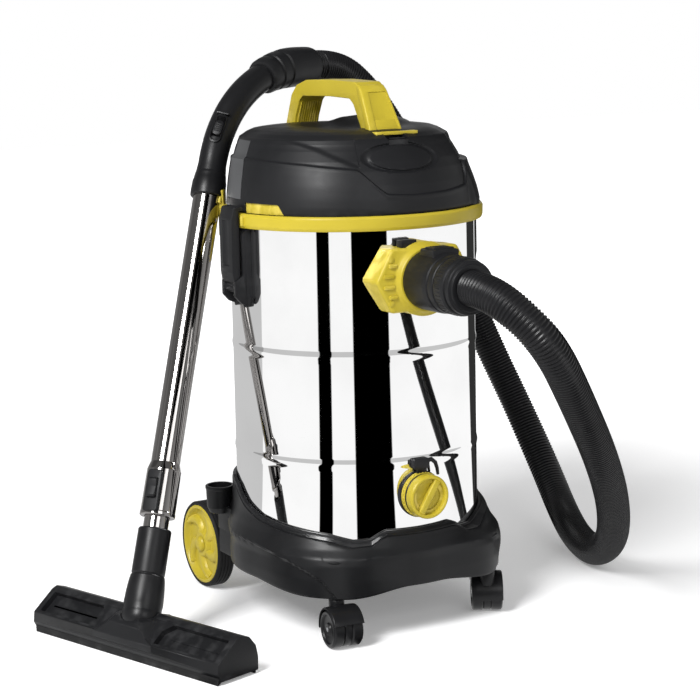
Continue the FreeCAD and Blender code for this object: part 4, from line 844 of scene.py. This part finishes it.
def base_radius(angle, z):
    """Outline of the skirt: a corner swells over each castor."""
    turn = abs(angle)
    corner = eased(turn, 6, 37) * (1 - eased(turn, 42, 84))
    low = 180.5 + 19.5 * corner
    wide = between(z, [(52, low - 1.5), (62, low), (84, low + 0.6), (104, low - 0.4),
                       (114, 182.4 + 14 * corner), (124, 178.6 + 8 * corner), (134, 175.4 + 5.5 * corner),
                       (150, 172.4 + 3 * corner), (192, 170.6)])
    # The side faces run straight back to the wheels.
    wing = max(0, 156 / sin(radians(turn)) - 175) if turn > 110 else 0
    wide += wing * between(z, [(104, 1), (118, 0.9), (134, 0.5), (150, 0.2), (186, 0)])
    sunk = eased(between(turn, SIDE_FACE) - z, 0, 3.2) * eased(turn, 37, 39)
    return wide - 3.4 * sunk


def wheel_axle(side, reach=WHEEL_REACH):
    return Place((side * reach, WHEEL_BACK, WHEEL_UP), (0, 1, 0), (side, 0, 0))


def wheel_well(side):
    """The room for a rear wheel, outwards from the carrier."""
    return bore(WELL_RADIUS, 0, 120, wheel_axle(side, 119), 72)


def base_shroud():
    rows = []
    angles = [-126 + 0.75 * step for step in range(337)]
    for a in angles:
        turn = radians(a)
        foot = base_foot(abs(a))
        top = between(abs(a), BASE_RIM)
        levels = [(166.0, 114), (165.6, top - 1.2), (165.9, top - 0.2), (166.6, top + 0.3),
                  (169.4, top + 0.1), (170.4, top - 0.6), (170.9, top - 2.0)]
        # A line runs round the rim, a few millimetres under its edge.
        start = max(base_radius(a, top - 5), 171.4)
        levels += [(max(start - 1.6, 171.0), top - 4.4), (max(start - 1.7, 171.0), top - 5.6),
                   (start + 0.3, top - 6.6)]
        for step in range(1, 31):
            z = (top - 6.6) + (foot + 2 - top + 6.6) * step / 30
            levels.append((max(base_radius(a, z), 171.6), z))
        low = base_radius(a, foot)
        levels += [(low - 0.6, foot + 0.4), (low - 2.2, foot), (low - 3.8, foot + 0.6), (low - 4.2, foot + 3),
                   (low - 4.4, 92), (175.6, 108), (172, 113)]
        rows.append([round_spot(r, turn, z) for r, z in levels])
    shroud = raw("base_shroud", [grid(rows, caps=True)])
    for side in SIDES:
        carve(shroud, [wheel_well(side)])
    dress(shroud, BLACK_BASE, "chassis", sharp=24, replaces=("base",))


def base_frame():
    """Under and behind the skirt: the floor, castor bosses, rear carrier and tool sockets."""
    plate = rounded([(0.02, 110, 0), (172, 110), (172, 113.6), (0.02, 113.6, 0)], 0.6, 2)
    deck = raw("base_deck", [lathe(plate, steps=144)])
    for turn in range(0, 360, 30):
        spoke = Place((0, 0, 0), (cos(radians(turn)), sin(radians(turn)), 0))
        carve(deck, [slab((24, -1.4, 100), (170, 1.4, 111), spoke, 0.5)], "UNION")
    for side in SIDES:
        boss = rounded([(5.7, 60), (11.4, 60), (11.4, 108), (16, 111), (5.7, 111)], 0.8, 2)
        boss = lathe(boss, Place((side * CASTOR_OUT, CASTOR_FRONT, 0)), 48)
        carve(deck, [boss], "UNION")
    dress(deck, BLACK_BASE, "chassis")
    carrier = raw("rear_carrier", [slab((-117.6, 118, 48), (117.6, 204, 114), radius=12, steps=5)])
    soften(carrier, 4, 3, angle=50)
    carve(carrier, [slab((-106, 128, 40), (106, 196, 104), radius=8, steps=4)])
    carve(carrier, [bore(6.3, -120, 120, wheel_axle(1, 0), 40)])
    for x in (-72, -36, 0, 36, 72):
        carve(carrier, [slab((x - 1.5, 127, 60), (x + 1.5, 183, 105), radius=0.5)], "UNION")
    for z in (66, 78, 90):
        carve(carrier, [slab((-84, 202.6, z - 2), (84, 206, z + 2), radius=0.5)])
    dress(carrier, BLACK_BASE, "chassis", sharp=34)
    # The back of the rim, between the two wings.
    back = []
    for step in range(109):
        a = 126 + step
        turn = radians(a)
        top = 190 - 40 * eased(min(abs(a - 126), abs(234 - a)), 4, 26)
        back.append([round_spot(r, turn, z) for r, z in ((165.8, 112), (165.8, top - 0.8), (166.6, top),
                                                         (169.6, top), (170.6, top - 1), (171.6, top - 8),
                                                         (173, 124), (176, 113), (172, 110))])
    piece("base_back_rim", [grid(back, caps=True)], BLACK_BASE, "chassis", sharp=30)
    for side, word in SIDES.items():
        cup = rounded([(0.02, 132, 0), (0.02, 128, 0), (15.0, 128, 2), (18.6, 136, 2), (19.4, 161, 1),
                       (20.2, 162.4, 0.8), (20.2, 165.4, 0.8), (19.4, 166.2, 0.5), (16.3, 166.2, 0.5),
                       (16.3, 134, 1)], steps=3)
        cup = lathe(cup, Place((side * 158, 108, 0), (-side, 0, 0)), 64)
        piece("tool_socket_" + word, [cup], BLACK_BASE, "chassis", sharp=34)
        # A web joins the socket to the skirt's wing.
        web = raw("socket_web_" + word, [slab((side * 146 - 13, 60, 104), (side * 146 + 13, 121, 138),
                                              radius=9, steps=4)])
        carve(web, [bore(171, 90, 170, steps=192)])
        carve(web, [wheel_well(side)])
        soften(web, 2.4, 3, angle=40)
        dress(web, BLACK_BASE, "chassis")


# ------------------------------------------------------------------ the inlet, its connector and the drain

def inlet():
    outline = [(-72, 0, 7), (-49, 41, 6), (49, 41, 6), (72, 0, 7), (49, -41, 6), (-49, -41, 6)]
    housing = raw("inlet_shell", [prism(rounded(outline, steps=5), 148, 187.6, INLET)])
    soften(housing, 4.2, 4, angle=50)
    carve(housing, [bore(165.2, -60, 620, steps=288)])
    carve(housing, [lathe(rounded([(34.3, 150, 0), (48.0, 150, 0), (48.0, 187.0, 0.5), (44.2, 189.4, 3),
                                   (41.8, 193.6, 2), (40.6, 195.2, 0.8), (34.3, 195.2)], 0.8, 3), INLET, 96)],
          "UNION")
    carve(housing, [bore(34.3, 100, 240, INLET, 64)])
    soften(housing, 0.7, 2, angle=40)
    dress(housing, YELLOW, "chassis", sharp=38, replaces=("inlet_housing",))
    # Short raised ribs flank the collar, which flares out of the face.
    ribs = []
    for side in SIDES:
        for y, start, end in ((20, 42, 54), (7, 46, 62), (-7, 46, 62), (-20, 42, 54)):
            low, high = sorted((side * start, side * end))
            ribs.append(slab((low, y - 2.6, 186.2), (high, y + 2.6, 189.8), INLET, 1.7))
    piece("inlet_ribs", ribs, YELLOW, "chassis", bevel=1.0)
    plugs = [lathe(rounded([(0.02, 186.4, 0), (4.2, 186.4), (4.2, 188.2), (0.02, 188.5, 0)], 0.4, 2),
                   Place(INLET.inner((x, y, 0)), (1, 0, 0), (0, -1, 0)), 32) for x in (-50, 50)
             for y in (-28, 28)]
    piece("screw_plugs", plugs, YELLOW, "chassis", replaces=("inlet_screws",))
    piece("release_tab", [slab((-31, 40, 168), (-8, 50.5, 181), INLET, 1.5)], BLACK, "chassis", bevel=1.2)


def knurls(count, reach, heights, radius, where):
    """Fine ribs along a collar, thin at both ends."""
    ribs = []
    for step in range(count):
        a = radians(360 / count * step)
        sizes = zip(heights, (0.3, radius, radius, 0.3))
        ribs.append(pipe([(where.inner((reach * cos(a), reach * sin(a), z)), size) for z, size in sizes], 8))
    return ribs


def connector():
    profile = rounded([(20, 176, 0.5), (34, 176, 1.5), (34, 189, 0.3), (38.0, 190.4, 1), (38.6, 200, 3),
                       (38.4, 240, 3), (37.6, 248, 2), (36.2, 249, 0.6), (36.2, 251, 0.5), (37.2, 252, 0.8),
                       (37.0, 260.8, 0.8), (36.0, 262, 0.6), (29, 262, 0.5), (20, 240, 0.5)])
    body = raw("connector_shell", [lathe(profile, INLET, 96)])
    # The saddle that carries the release button.
    carve(body, [slab((-19, 26, 206.5), (19, 42.4, 237.5), INLET, 3)], "UNION")
    carve(body, [slab((-16.4, 29.0, 210.2), (16.4, 48, 233.8), INLET, 1.5)])
    soften(body, 1.0, 2, angle=42)
    dress(body, BLACK, "chassis", sharp=35, replaces=("hose_connector",))
    collar = rounded([(23, 262.4, 0.4), (36.4, 262.4, 1.4), (36.8, 281, 2), (35.6, 284.6, 1.4),
                      (33.6, 285.4, 0.5), (33.6, 287, 0.5), (34.6, 287.8, 1.2), (34.0, 293.8, 1.6),
                      (30.0, 294.6, 0.6), (29.4, 297, 1), (23, 297, 0.5)])
    knurl = knurls(48, 36.2, (265, 267, 278, 280), 1.1, INLET)
    piece("hose_collar_shell", [lathe(collar, INLET, 96)] + knurl, BLACK, "chassis", sharp=35,
          replaces=("hose_collar",))
    button = slab((-15.5, 34.8, 211.5), (15.5, 44.4, 232.5), INLET, 2)
    ridges = [slab((-11, 43.6, z - 0.7), (11, 45.1, z + 0.7), INLET, 0.5) for z in (216, 219, 222, 225, 228)]
    piece("release_button_cap", [button] + ridges, BLACK_SATIN, "connector_button", bevel=0.9,
          replaces=("release_button",))


def drain():
    """The spout's flange and ribbed ring, and the dished screw cap with its grip and tether."""
    flange = lathe(rounded([(20, 161, 0.2), (31.2, 161, 0.2), (31.2, 167.6), (30.4, 168.2), (20, 168.2)], 0.6,
                           3), DRAIN, 96)
    piece("spout_flange", [flange], BLACK, "chassis")
    ring = lathe(rounded([(20, 168, 0.2), (29.4, 168, 0.6), (29.4, 174.6, 0.8), (20, 174.6, 0.4)], steps=3),
                 DRAIN, 96)
    ribs = knurls(36, 29.2, (168.8, 169.8, 173.2, 174.2), 1.0, DRAIN)
    piece("spout_ring", [ring] + ribs, YELLOW, "chassis")
    profile = rounded([(0.02, 177.6, 0), (27.8, 177.6, 0.6), (28.9, 178.8, 0.8), (28.9, 189.8, 1.6),
                       (27.4, 191.8, 1.2), (25.2, 191.9, 1), (23.6, 190.4, 1.2), (22.6, 184.4, 1),
                       (0.02, 183.8, 0)])
    cap = raw("drain_cap_shell", [lathe(profile, DRAIN, 128)])
    turn = radians(58)
    bar = Place(DRAIN.origin, (cos(turn), 0, sin(turn)), (0, -1, 0))
    handle = raw("cap_grip", [slab((-24, -4.6, 182), (24, 4.6, 191.6), bar, 2.0, 4)])
    soften(handle, 1.6, 3, angle=50)
    dress(handle, YELLOW, "cap")
    gasket = lathe(rounded([(22, 174.4), (28.4, 174.4), (28.4, 177.4), (22, 177.4)], 0.5, 2), DRAIN, 96)
    tie = [slab((-7, 27, 166.8), (7, 44, 173.0), DRAIN, 2), slab((-14, 35, 165.8), (9, 49, 176.4), DRAIN, 3)]
    route = [(6, 44, 173, 3.2), (13, 46, 174, 3.0), (19, 41, 174, 2.7), (22, 33, 173.4, 2.4),
             (23.5, 24, 173, 2.0)]
    tail = pipe([(DRAIN.inner(spot), radius) for *spot, radius in route], 20)
    piece("cap_tether", [gasket] + tie + [tail], BLACK, "chassis", bevel=1.0, replaces=("cap_strap",))
    dress(cap, YELLOW, "cap", replaces=("drain_cap",))


# ------------------------------------------------------------------ the wand

def lozenge(half_long, half_wide, radius, steps, low, high, where):
    """A block with well rounded ends, about a place's middle."""
    outline = [(-half_long, -half_wide), (half_long, -half_wide), (half_long, half_wide),
               (-half_long, half_wide)]
    return prism(rounded(outline, radius, steps), low, high, where)


def wand_handle():
    side = BEND_SIDE.cross(WAND_UP)
    # A stepped socket over the steel tube, then the swept grip.
    socket = ((30, 16.5), (30, 22.6), (29, 23.6), (22, 23.9), (8, 23.4), (6, 22.6), (0, 21.8), (-4, 21.2))
    line = [(BEND_START - WAND_UP * (18 + down), radius) for down, radius in socket]
    line += [(BEND_START - WAND_UP * (18 - 4.5 * k), 21.2 - 1.7 * k / 4) for k in range(1, 5)]
    for turn in (1.5 * k for k in range(1, 45)):
        swell = 0.7 * sin(pi * turn / BEND_TURN)
        line.append((bend_point(turn)[0], 19.5 + swell + 1.0 * eased(turn, 40, BEND_TURN)))
    grip = raw("wand_grip_shell", [pipe(line, 48, side)])
    dress(grip, BLACK_SATIN, "chassis", sharp=34, replaces=("wand_handle",))
    # A raised rim frames the air slide on the outer side of the bend, turned a
    # little about the tube towards the front of the machine.
    middle, way = bend_point(12)
    out = -(BEND_SIDE * cos(radians(12)) - WAND_UP * sin(radians(12)))
    aside = Vector((-0.484, -0.858, 0.171))
    aside = (aside - way * aside.dot(way) - out * aside.dot(out)).normalized()
    out = (out * cos(radians(38)) + aside * sin(radians(38))).normalized()
    frame_at = Place(middle, way, out)
    bed = raw("slide_bed", [lozenge(23, 8, 7.5, 8, 12, 20.9, frame_at)])
    carve(bed, [lozenge(18.5, 6.6, 5.5, 6, 18.4, 26, frame_at)])
    soften(bed, 0.8, 2, angle=45)
    dress(bed, BLACK_SATIN, "chassis")
    lip = slab((-22.5, -9.4, 13), (-18.6, 9.4, 23.2), Place(frame_at.inner((44.5, 0, 0)), way, out), 1.6)
    piece("slide_hood", [lip], BLACK_SATIN, "chassis", bevel=1.3)
    thumb = raw("slide_thumb", [lozenge(11, 5.8, 4.5, 6, 18.6, 21.6, frame_at)])
    for x in (-6, -3, 0, 3, 6):
        carve(thumb, [slab((x - 0.8, -4.2, 21), (x + 0.8, 4.2, 22.4), frame_at, 0.6)], "UNION")
    soften(thumb, 0.5, 2, angle=45)
    dress(thumb, BLACK, "suction_slide", replaces=("air_slide",))


def hose_cuff():
    side = BEND_SIDE.cross(WAND_UP)
    steps = [(46.0, 20.6), (46.2, 24.0), (47.0, 25.2), (49.2, 25.8), (50.6, 25.9), (51.0, 24.9), (52.0, 24.9),
             (52.4, 26.6), (54.6, 27.2), (55.6, 27.3), (56.0, 26.0), (57.0, 26.0), (57.5, 27.8), (59.5, 28.3),
             (62, 28.4), (64, 28.4), (BEND_TURN, 28.4)]
    ends = ((8, 28.4), (18, 28.3), (24, 27.9), (27.5, 27.0), (29.4, 25.8), (30.6, 24.4), (31, 21))
    line = [(bend_point(turn)[0], radius) for turn, radius in steps]
    line += [(bend_point(BEND_TURN, past)[0], radius) for past, radius in ends]
    piece("hose_cuff_shell", [pipe(line, 64, side)], BLACK, "chassis", sharp=34, replaces=("hose_cuff",))
    # The hose's first ribs, gripped by the cuff.
    root = [(bend_point(BEND_TURN, 22.5 + RIB_PITCH * (rib + share))[0], radius) for rib in range(5)
            for share, radius in RIB]
    piece("hose_root", [pipe(root, 40, side)], HOSE_SKIN, "chassis", sharp=60)


def wand_sleeve():
    """The chromed locking sleeve with its black catch."""
    profile = rounded([(19.3, 404, 0.2), (19.6, 404, 0.2), (22.6, 414, 5), (22.9, 470, 1), (23.4, 471, 0.6),
                       (23.4, 475, 0.9), (22.6, 476, 0.5), (17.4, 476, 0.3), (17.4, 440, 0.2)])
    piece("sleeve_shell", [lathe(profile, WAND, 72)], CHROME, "chassis", sharp=40, replaces=("wand_sleeve",))
    housing = raw("catch_housing", [prism(rounded([(417, -9), (421, -10.5), (470, -10.5), (473, -9), (473, 9),
                                                   (470, 10.5), (421, 10.5), (417, 9)], 3), 18, 25.6,
                                          Place(WAND.origin, WAND.z, WAND.x))])
    soften(housing, 1.6, 3, angle=45)
    dress(housing, BLACK, "chassis")
    outline = [(21.8, 428.3), (27, 428.3), (32, 431.5), (29.6, 441), (32, 452), (30.4, 455), (21.8, 455)]
    catch = raw("lock_catch", [prism(rounded(outline, 1.4), -6.7, 6.7, Place(WAND.origin, WAND.x, -WAND.y))])
    soften(catch, 0.9, 2, angle=40)
    dress(catch, BLACK, "tube_button", replaces=("lock_button",))


def park_clip():
    """A spring clip on the drum's rim that holds the tube from behind."""
    spot = radians(138.5)
    out = Vector((cos(spot), sin(spot), 0))
    tube = WAND_TOP + WAND_UP * ((565 - WAND_TOP.z) / WAND_UP.z)
    jaw = Place(tube, Vector((cos(spot + pi), sin(spot + pi), 0)), WAND_UP)
    bow = lathe(rounded([(19.7, -11), (22.8, -11), (22.8, 11), (19.7, 11)], 1.0, 3), jaw, 40, -18, 168)
    lips = []
    for turn in (-18, 150):
        edge = radians(turn)
        ends = ((-11, 1.2), (-10.2, 2.2), (10.2, 2.2), (11, 1.2))
        lips.append(pipe([(jaw.inner((21.4 * cos(edge), 21.4 * sin(edge), z)), r) for z, r in ends], 16))
    side = Place((0, 0, 0), out, (0, 0, 1))
    stem = [slab((176, -8, 512), (184, 8, 574), side, 2), slab((165.4, -17.6, 477), (171.8, 17.6, 529), side,
                                                               2), slab((171, -12, 508), (182, 12, 529), side,
                                                                        2)]
    piece("park_clip_shell", [bow] + lips + stem, YELLOW, "chassis", bevel=0.8, replaces=("park_clip",))


def neck():
    """The black socket on the inner tube and the swelling elbow over the floor tool."""
    profile = rounded([(16.7, 494, 0.3), (20.6, 492, 0.6), (21.8, 494, 1), (22.0, 551, 0.6), (21.2, 553, 0.5),
                       (22.6, 555.2, 1.5), (23.0, 562, 4), (16.7, 562, 0.3), (16.7, 530, 0.2)], steps=5)
    piece("neck_socket", [lathe(profile, WAND, 72)], BLACK_SATIN, "wand_lower", sharp=34,
          replaces=("neck_elbow",))
    # The elbow swells into a ball that turns in the floor tool's cup.
    axis = Place(WAND_FOOT, NOZZLE.y, NOZZLE.x)
    arc = [radians(-81 + 162 * step / 36) for step in range(37)]
    ball = lathe([(4.0, -26.0)] + [(26.3 * cos(t), 26.3 * sin(t)) for t in arc] + [(4.0, 26.0)], axis, 72)
    link = [(557, 22.8), (560, 23.4), (568, 24.4), (578, 25.2), (590, 25.8), (602, 24.6), (612, 19)]
    stem = pipe([(WAND.inner((0, 0, down)), radius) for down, radius in link], 64)
    elbow = raw("neck_elbow_shell", [ball])
    carve(elbow, [stem], "UNION")
    dress(elbow, BLACK_SATIN, "wand_lower", sharp=50)


def floor_tool():
    """A wide floor head with sunk trays each side of a mound round the neck."""
    along = Place(NOZZLE.origin, NOZZLE.y, NOZZLE.x)
    outline = [(-31, 4, 1), (34, 4, 2), (34.5, 22, 4), (31, 37, 5), (20, 50, 5), (6, 54.5, 5), (-2, 51.5, 4),
               (-34.4, 27.5, 3), (-35.9, 14, 3)]
    body = raw("nozzle_shell", [prism(rounded(outline), -178, 178, along)])
    soften(body, 4.0, 4, angle=60)
    # A mound swells round the neck and dies away between the trays.
    swell = rounded([(0.02, 18, 0), (67, 18, 1), (66, 27, 1), (54, 33, 12), (42, 43, 8), (35, 49.4, 5),
                     (30, 50.6, 2), (26, 50.6, 1), (0.02, 50.6, 0)], steps=6)
    mound = raw("mound", [lathe(swell, NOZZLE, 96)])
    keep = raw("keep", [prism(rounded([(-35.8, 10, 1), (33.6, 10, 1), (33.6, 34, 6), (26, 50, 6), (20, 56, 4),
                                       (-16, 56, 10), (-30, 44, 10), (-35.8, 26, 6)], steps=6), -90, 90,
                              along)])
    combine(mound, keep, "INTERSECT")
    soften(mound, 2.5, 3, angle=35)
    combine(body, mound, "UNION")
    # The cup for the ball, and a channel behind it into which the neck folds back.
    arc = [radians(5 * k) for k in range(1, 19)]
    well = [(0.01, 19.0)] + [(27.0 * sin(t), 46 - 27.0 * cos(t)) for t in arc]
    carve(body, [lathe(well + [(27.0, 90), (0.01, 90)], NOZZLE, 72)])
    channel = ((0, 0, 46), (-4.5, 25, 48), (-10, 56, 51))
    carve(body, [pipe([(NOZZLE.inner(spot), 27.0) for spot in channel], 64)])
    carve(body, [prism([(-27, 0), (27, 0), (27, 56), (-37, 56)], 47, 90, NOZZLE)])
    # Sunk trays in the sloping top, one each side.
    slope = Vector((0, 33, 24.5)).normalized()
    lean = NOZZLE.y * -slope.z + Vector((0, 0, slope.y))
    top = Place(NOZZLE.inner((0, -35, 27.5)), NOZZLE.x, lean)
    for side in SIDES:
        tray = [(side * x, y, 2.5) for x, y in ((56, 4.5), (168, 4.5), (168, 37), (68, 37), (56, 24))]
        carve(body, [prism(rounded(tray), -8, 30, top)])
        low, high = sorted((side * 72, side * 160))
        carve(body, [slab((low, 19, -9), (high, 21.4, -7), top, 0.8)], "UNION")
    carve(body, [slab((-170, -24, 0), (170, 22, 17), NOZZLE, 3)])
    soften(body, 0.9, 2, angle=38)
    dress(body, BLACK, "floor_tool", sharp=36, replaces=("nozzle_body",))
    lip = [slab((-176, -34, 1.6), (176, -29, 9.4), NOZZLE, 1.2),
           slab((-174, 33.0, 2.2), (174, 35.6, 10.4), NOZZLE, 1)]
    piece("nozzle_bumper", lip, RUBBER, "floor_tool", bevel=0.6)


# ------------------------------------------------------------------ wheels, castors and latches

def rear_wheel(side):
    word = SIDES[side]
    axle = wheel_axle(side)
    tread = [(56.9, -12.6, 1), (59.6, -13, 1.6), (61.5, -10.2, 1.6)]
    for z in (-7.2, -2.4, 2.4, 7.2):
        tread += [(61.5, z - 0.9, 0.2), (60.5, z - 0.5, 0.2), (60.5, z + 0.5, 0.2), (61.5, z + 0.9, 0.2)]
    tread += [(61.5, 10.2, 1.6), (59.6, 13, 1.6), (56.9, 12.6, 1), (54.6, 11.0, 0.4), (54.6, -11.0, 0.4)]
    piece("rear_tyre_shell_" + word, [lathe(rounded(tread), axle, 128)], RUBBER, "rear_wheel_" + word,
          replaces=("rear_tyre_" + word,))
    rim = lathe(rounded([(6.1, -9), (15, -9, 2), (19, -2.4, 3), (47, -2.4, 3), (50, -10.4, 1),
                         (55.2, -11.2, 1), (56.0, -11.2, 0.5), (56.0, 12.2, 0.5), (54.6, 12.9, 1),
                         (51.6, 12.9, 1.4), (49, 8.5, 3), (46, 5.2, 4), (22, 5.2, 4), (17, 11.4, 2),
                         (6.1, 11.4, 0.5)]), axle, 96)
    swirl = []
    for blade in range(5):
        rows = []
        for step in range(13):
            share = step / 12
            reach = 13 + 37.5 * share
            turn = radians(72 * blade + 44 * share * share)
            wide = (3.4 + 3.8 * sin(pi * min(1, share * 1.05)) ** 0.7) * (1 if share < 0.9 else 1.12)
            high = 11.6 - 1.2 * sin(pi * share)
            ahead = turn + atan2(reach * radians(88 * share), 37.5)
            at = Vector((reach * cos(turn), reach * sin(turn)))
            across = Vector((-sin(ahead), cos(ahead)))
            row = []
            for put, z in ((-1.25, 4.0), (-1.0, high - 2.4), (-0.55, high - 0.5), (0, high),
                           (0.55, high - 0.5), (1.0, high - 2.4), (1.25, 4.0)):
                row.append(axle.to((at.x + across.x * put * wide, at.y + across.y * put * wide, z)))
            rows.append(row)
        swirl.append(grid(rows, caps=True))
    piece("rear_rim_" + word, [rim], YELLOW, "rear_wheel_" + word, sharp=36, replaces=("rear_hub_" + word,))
    piece("rear_swirl_" + word, swirl, YELLOW, "rear_wheel_" + word, sharp=50)


def axle_ends():
    """Yellow domes over the ends of the rear axle."""
    dome = rounded([(0.02, 17, 0), (5, 16.8, 3), (9.8, 15.2, 3), (11.6, 12.2, 0.8), (11.6, 11.8, 0.3),
                    (0.02, 11.8, 0)], steps=5)
    domes = [lathe(dome, wheel_axle(side), 48) for side in SIDES]
    piece("axle_domes", domes, YELLOW, "chassis", sharp=60, replaces=("axle_caps",))


def castor(side, heading):
    word = SIDES[side]
    turn = radians(heading)
    ahead = Vector((cos(turn), sin(turn), 0))
    pivot = Vector((side * CASTOR_OUT, CASTOR_FRONT, 0))
    hub = pivot + ahead * 16 + Vector((0, 0, 25))
    axle = Place(hub, (0, 0, 1), Vector((-sin(turn), cos(turn), 0)))
    disc = rounded([(3.1, 5.0, 0.3), (23.4, 5.0, 1.4), (25, 7.4, 1.6), (25, 18.4, 2.2), (22.6, 20.8, 1.6),
                    (19.4, 20.4, 0.8), (18.2, 18.2, 0.8), (9, 17.6, 1.2), (7.6, 20.2, 0.8), (3.1, 20.6, 0.4)])
    discs = [lathe([(r, -z) for r, z in reversed(disc)], axle, 72), lathe(disc, axle, 72)]
    # A rounded hood over the wheels, with the socket for the stem.
    cover = rounded([(26.0, -20.6, 0.4), (27.0, -21.4, 0.4), (28.8, -20.4, 2), (29.2, -14, 6), (29.4, 0, 10),
                     (29.2, 14, 6), (28.8, 20.4, 2), (27.0, 21.4, 0.4), (26.0, 20.6, 0.4), (26.4, 0, 8)])
    middle = rounded([(3.1, -4.6), (24.2, -4.6), (24.2, 4.6), (3.1, 4.6)], 0.6, 2)
    stem = rounded([(0.02, 40, 0), (10.4, 40, 1), (10.4, 59.4, 1), (5.5, 59.8, 0.4), (5.5, 92, 1),
                    (0.02, 92, 0)], steps=3)
    hood_parts = [lathe(cover, axle, 48, -100, 168), lathe(middle, axle, 72),
                  lathe([(23, -4.4), (27.0, -4.4), (27.0, 4.4), (23, 4.4)], axle, 48, -100, 168),
                  lathe(stem, Place(pivot), 40)]
    piece("castor_hood_" + word, hood_parts, BLACK_SATIN, "castor_" + word, sharp=34,
          replaces=("castor_fork_" + word,))
    piece("castor_discs_" + word, discs, BLACK_SATIN, "castor_roll_" + word, sharp=34,
          replaces=("castor_wheels_" + word,))


def latch(side):
    """The over-centre lever on the drum's side, and the forked plate that carries it."""
    word = SIDES[side]
    outward = Place((0, 0, 0), (side, 0, 0), (0, 0, 1))
    pin = Place((side * LATCH_OUT, 0, LATCH_PIN), (side, 0, 0), (0, 1, 0))
    cheek = Place((0, 0, 0), (side, 0, 0), (0, 1, 0))
    flip = -1 if cheek.y.z < 0 else 1
    lever = [(171.8, 558.6, 0.8), (178, 558.4, 1.5), (178.4, 480, 4), (178.0, 468.6, 1), (183.2, 461, 1.5),
             (187.4, 465, 2), (189.6, 478, 8), (189.2, 548, 10), (185, 563.5, 4), (173.4, 564, 1.5)]
    outline = rounded([(x, flip * z, r) for x, z, r in lever], steps=5)
    arm = raw("latch_lever_shell_" + word, [prism(outline, -18, 18, cheek)])
    soften(arm, 2.2, 3, angle=50)
    # A long shallow groove down the lever's outer face.
    carve(arm, [slab((187.7, -9, 486), (196, 9, 546), outward, 3)])
    barrel = lathe(rounded([(2.1, -13.6), (5.2, -13.6), (5.2, 13.6), (2.1, 13.6)], 0.5, 3), pin, 40)
    carve(arm, [slab((177.6, -13.6, 455), (184.4, 13.6, 470), outward, 1)], "UNION")
    carve(arm, [bore(5.1, -30, 30, pin, 40)])
    dress(arm, BLACK, "latch_lever_" + word, sharp=36, replaces=("latch_" + word,))
    piece("latch_barrel_" + word, [barrel], BLACK, "latch_lever_" + word)
    plate = [(-21, 535, 1), (21, 535, 1), (21, 446, 2), (14.6, 430, 2), (9.5, 433, 1.5), (0, 449, 2),
             (-9.5, 433, 1.5), (-14.6, 430, 2), (-21, 446, 2)]
    front = Place((0, 0, 0), (0, side, 0), (side, 0, 0))
    bracket = raw("latch_bracket_shell_" + word, [prism(rounded(plate), 163.2, 171.4, front)])
    carve(bracket, [bore(165.15, 400, 560, steps=288)])
    ear = rounded([(170, flip * 532, 1), (175.6, flip * 528, 2), (175.6, flip * 474, 4), (187, flip * 466, 3),
                   (187, flip * 447, 4), (178, flip * 437, 3), (170, flip * 434, 1)])
    for low, high in ((-20.4, -14.2), (14.2, 20.4)):
        carve(bracket, [prism(ear, low, high, cheek)], "UNION")
    soften(bracket, 1.1, 2, angle=42)
    dress(bracket, BLACK, "chassis", sharp=36, replaces=("latch_bracket_" + word,))


SCENE.view_settings.view_transform = "Standard"
for build in (world, floor, studio, camera, hose, hood, carry_handle, clamp_ring, drum_wall, base_shroud,
              base_frame, inlet, connector, drain, wand_handle, hose_cuff, wand_sleeve, park_clip, neck,
              floor_tool, axle_ends):
    build()
# Each castor trails at its own heading.
for SIDE, HEADING in ((-1, 264.0), (1, 60.6)):
    rear_wheel(SIDE)
    castor(SIDE, HEADING)
    latch(SIDE)

# The slots of the castors' discs and the tyres share a finish with another slot.
FINISHES["castor_grey"] = BLACK_SATIN
FINISHES["tyre"] = RUBBER
# The solids that stay in view take the finish of their slot.
for part in frame["record"]["subparts"]:
    mesh = frame["nodes"][part["node"]].data
    mesh.materials.clear()
    mesh.materials.append(FINISHES[part["material_slot"]])
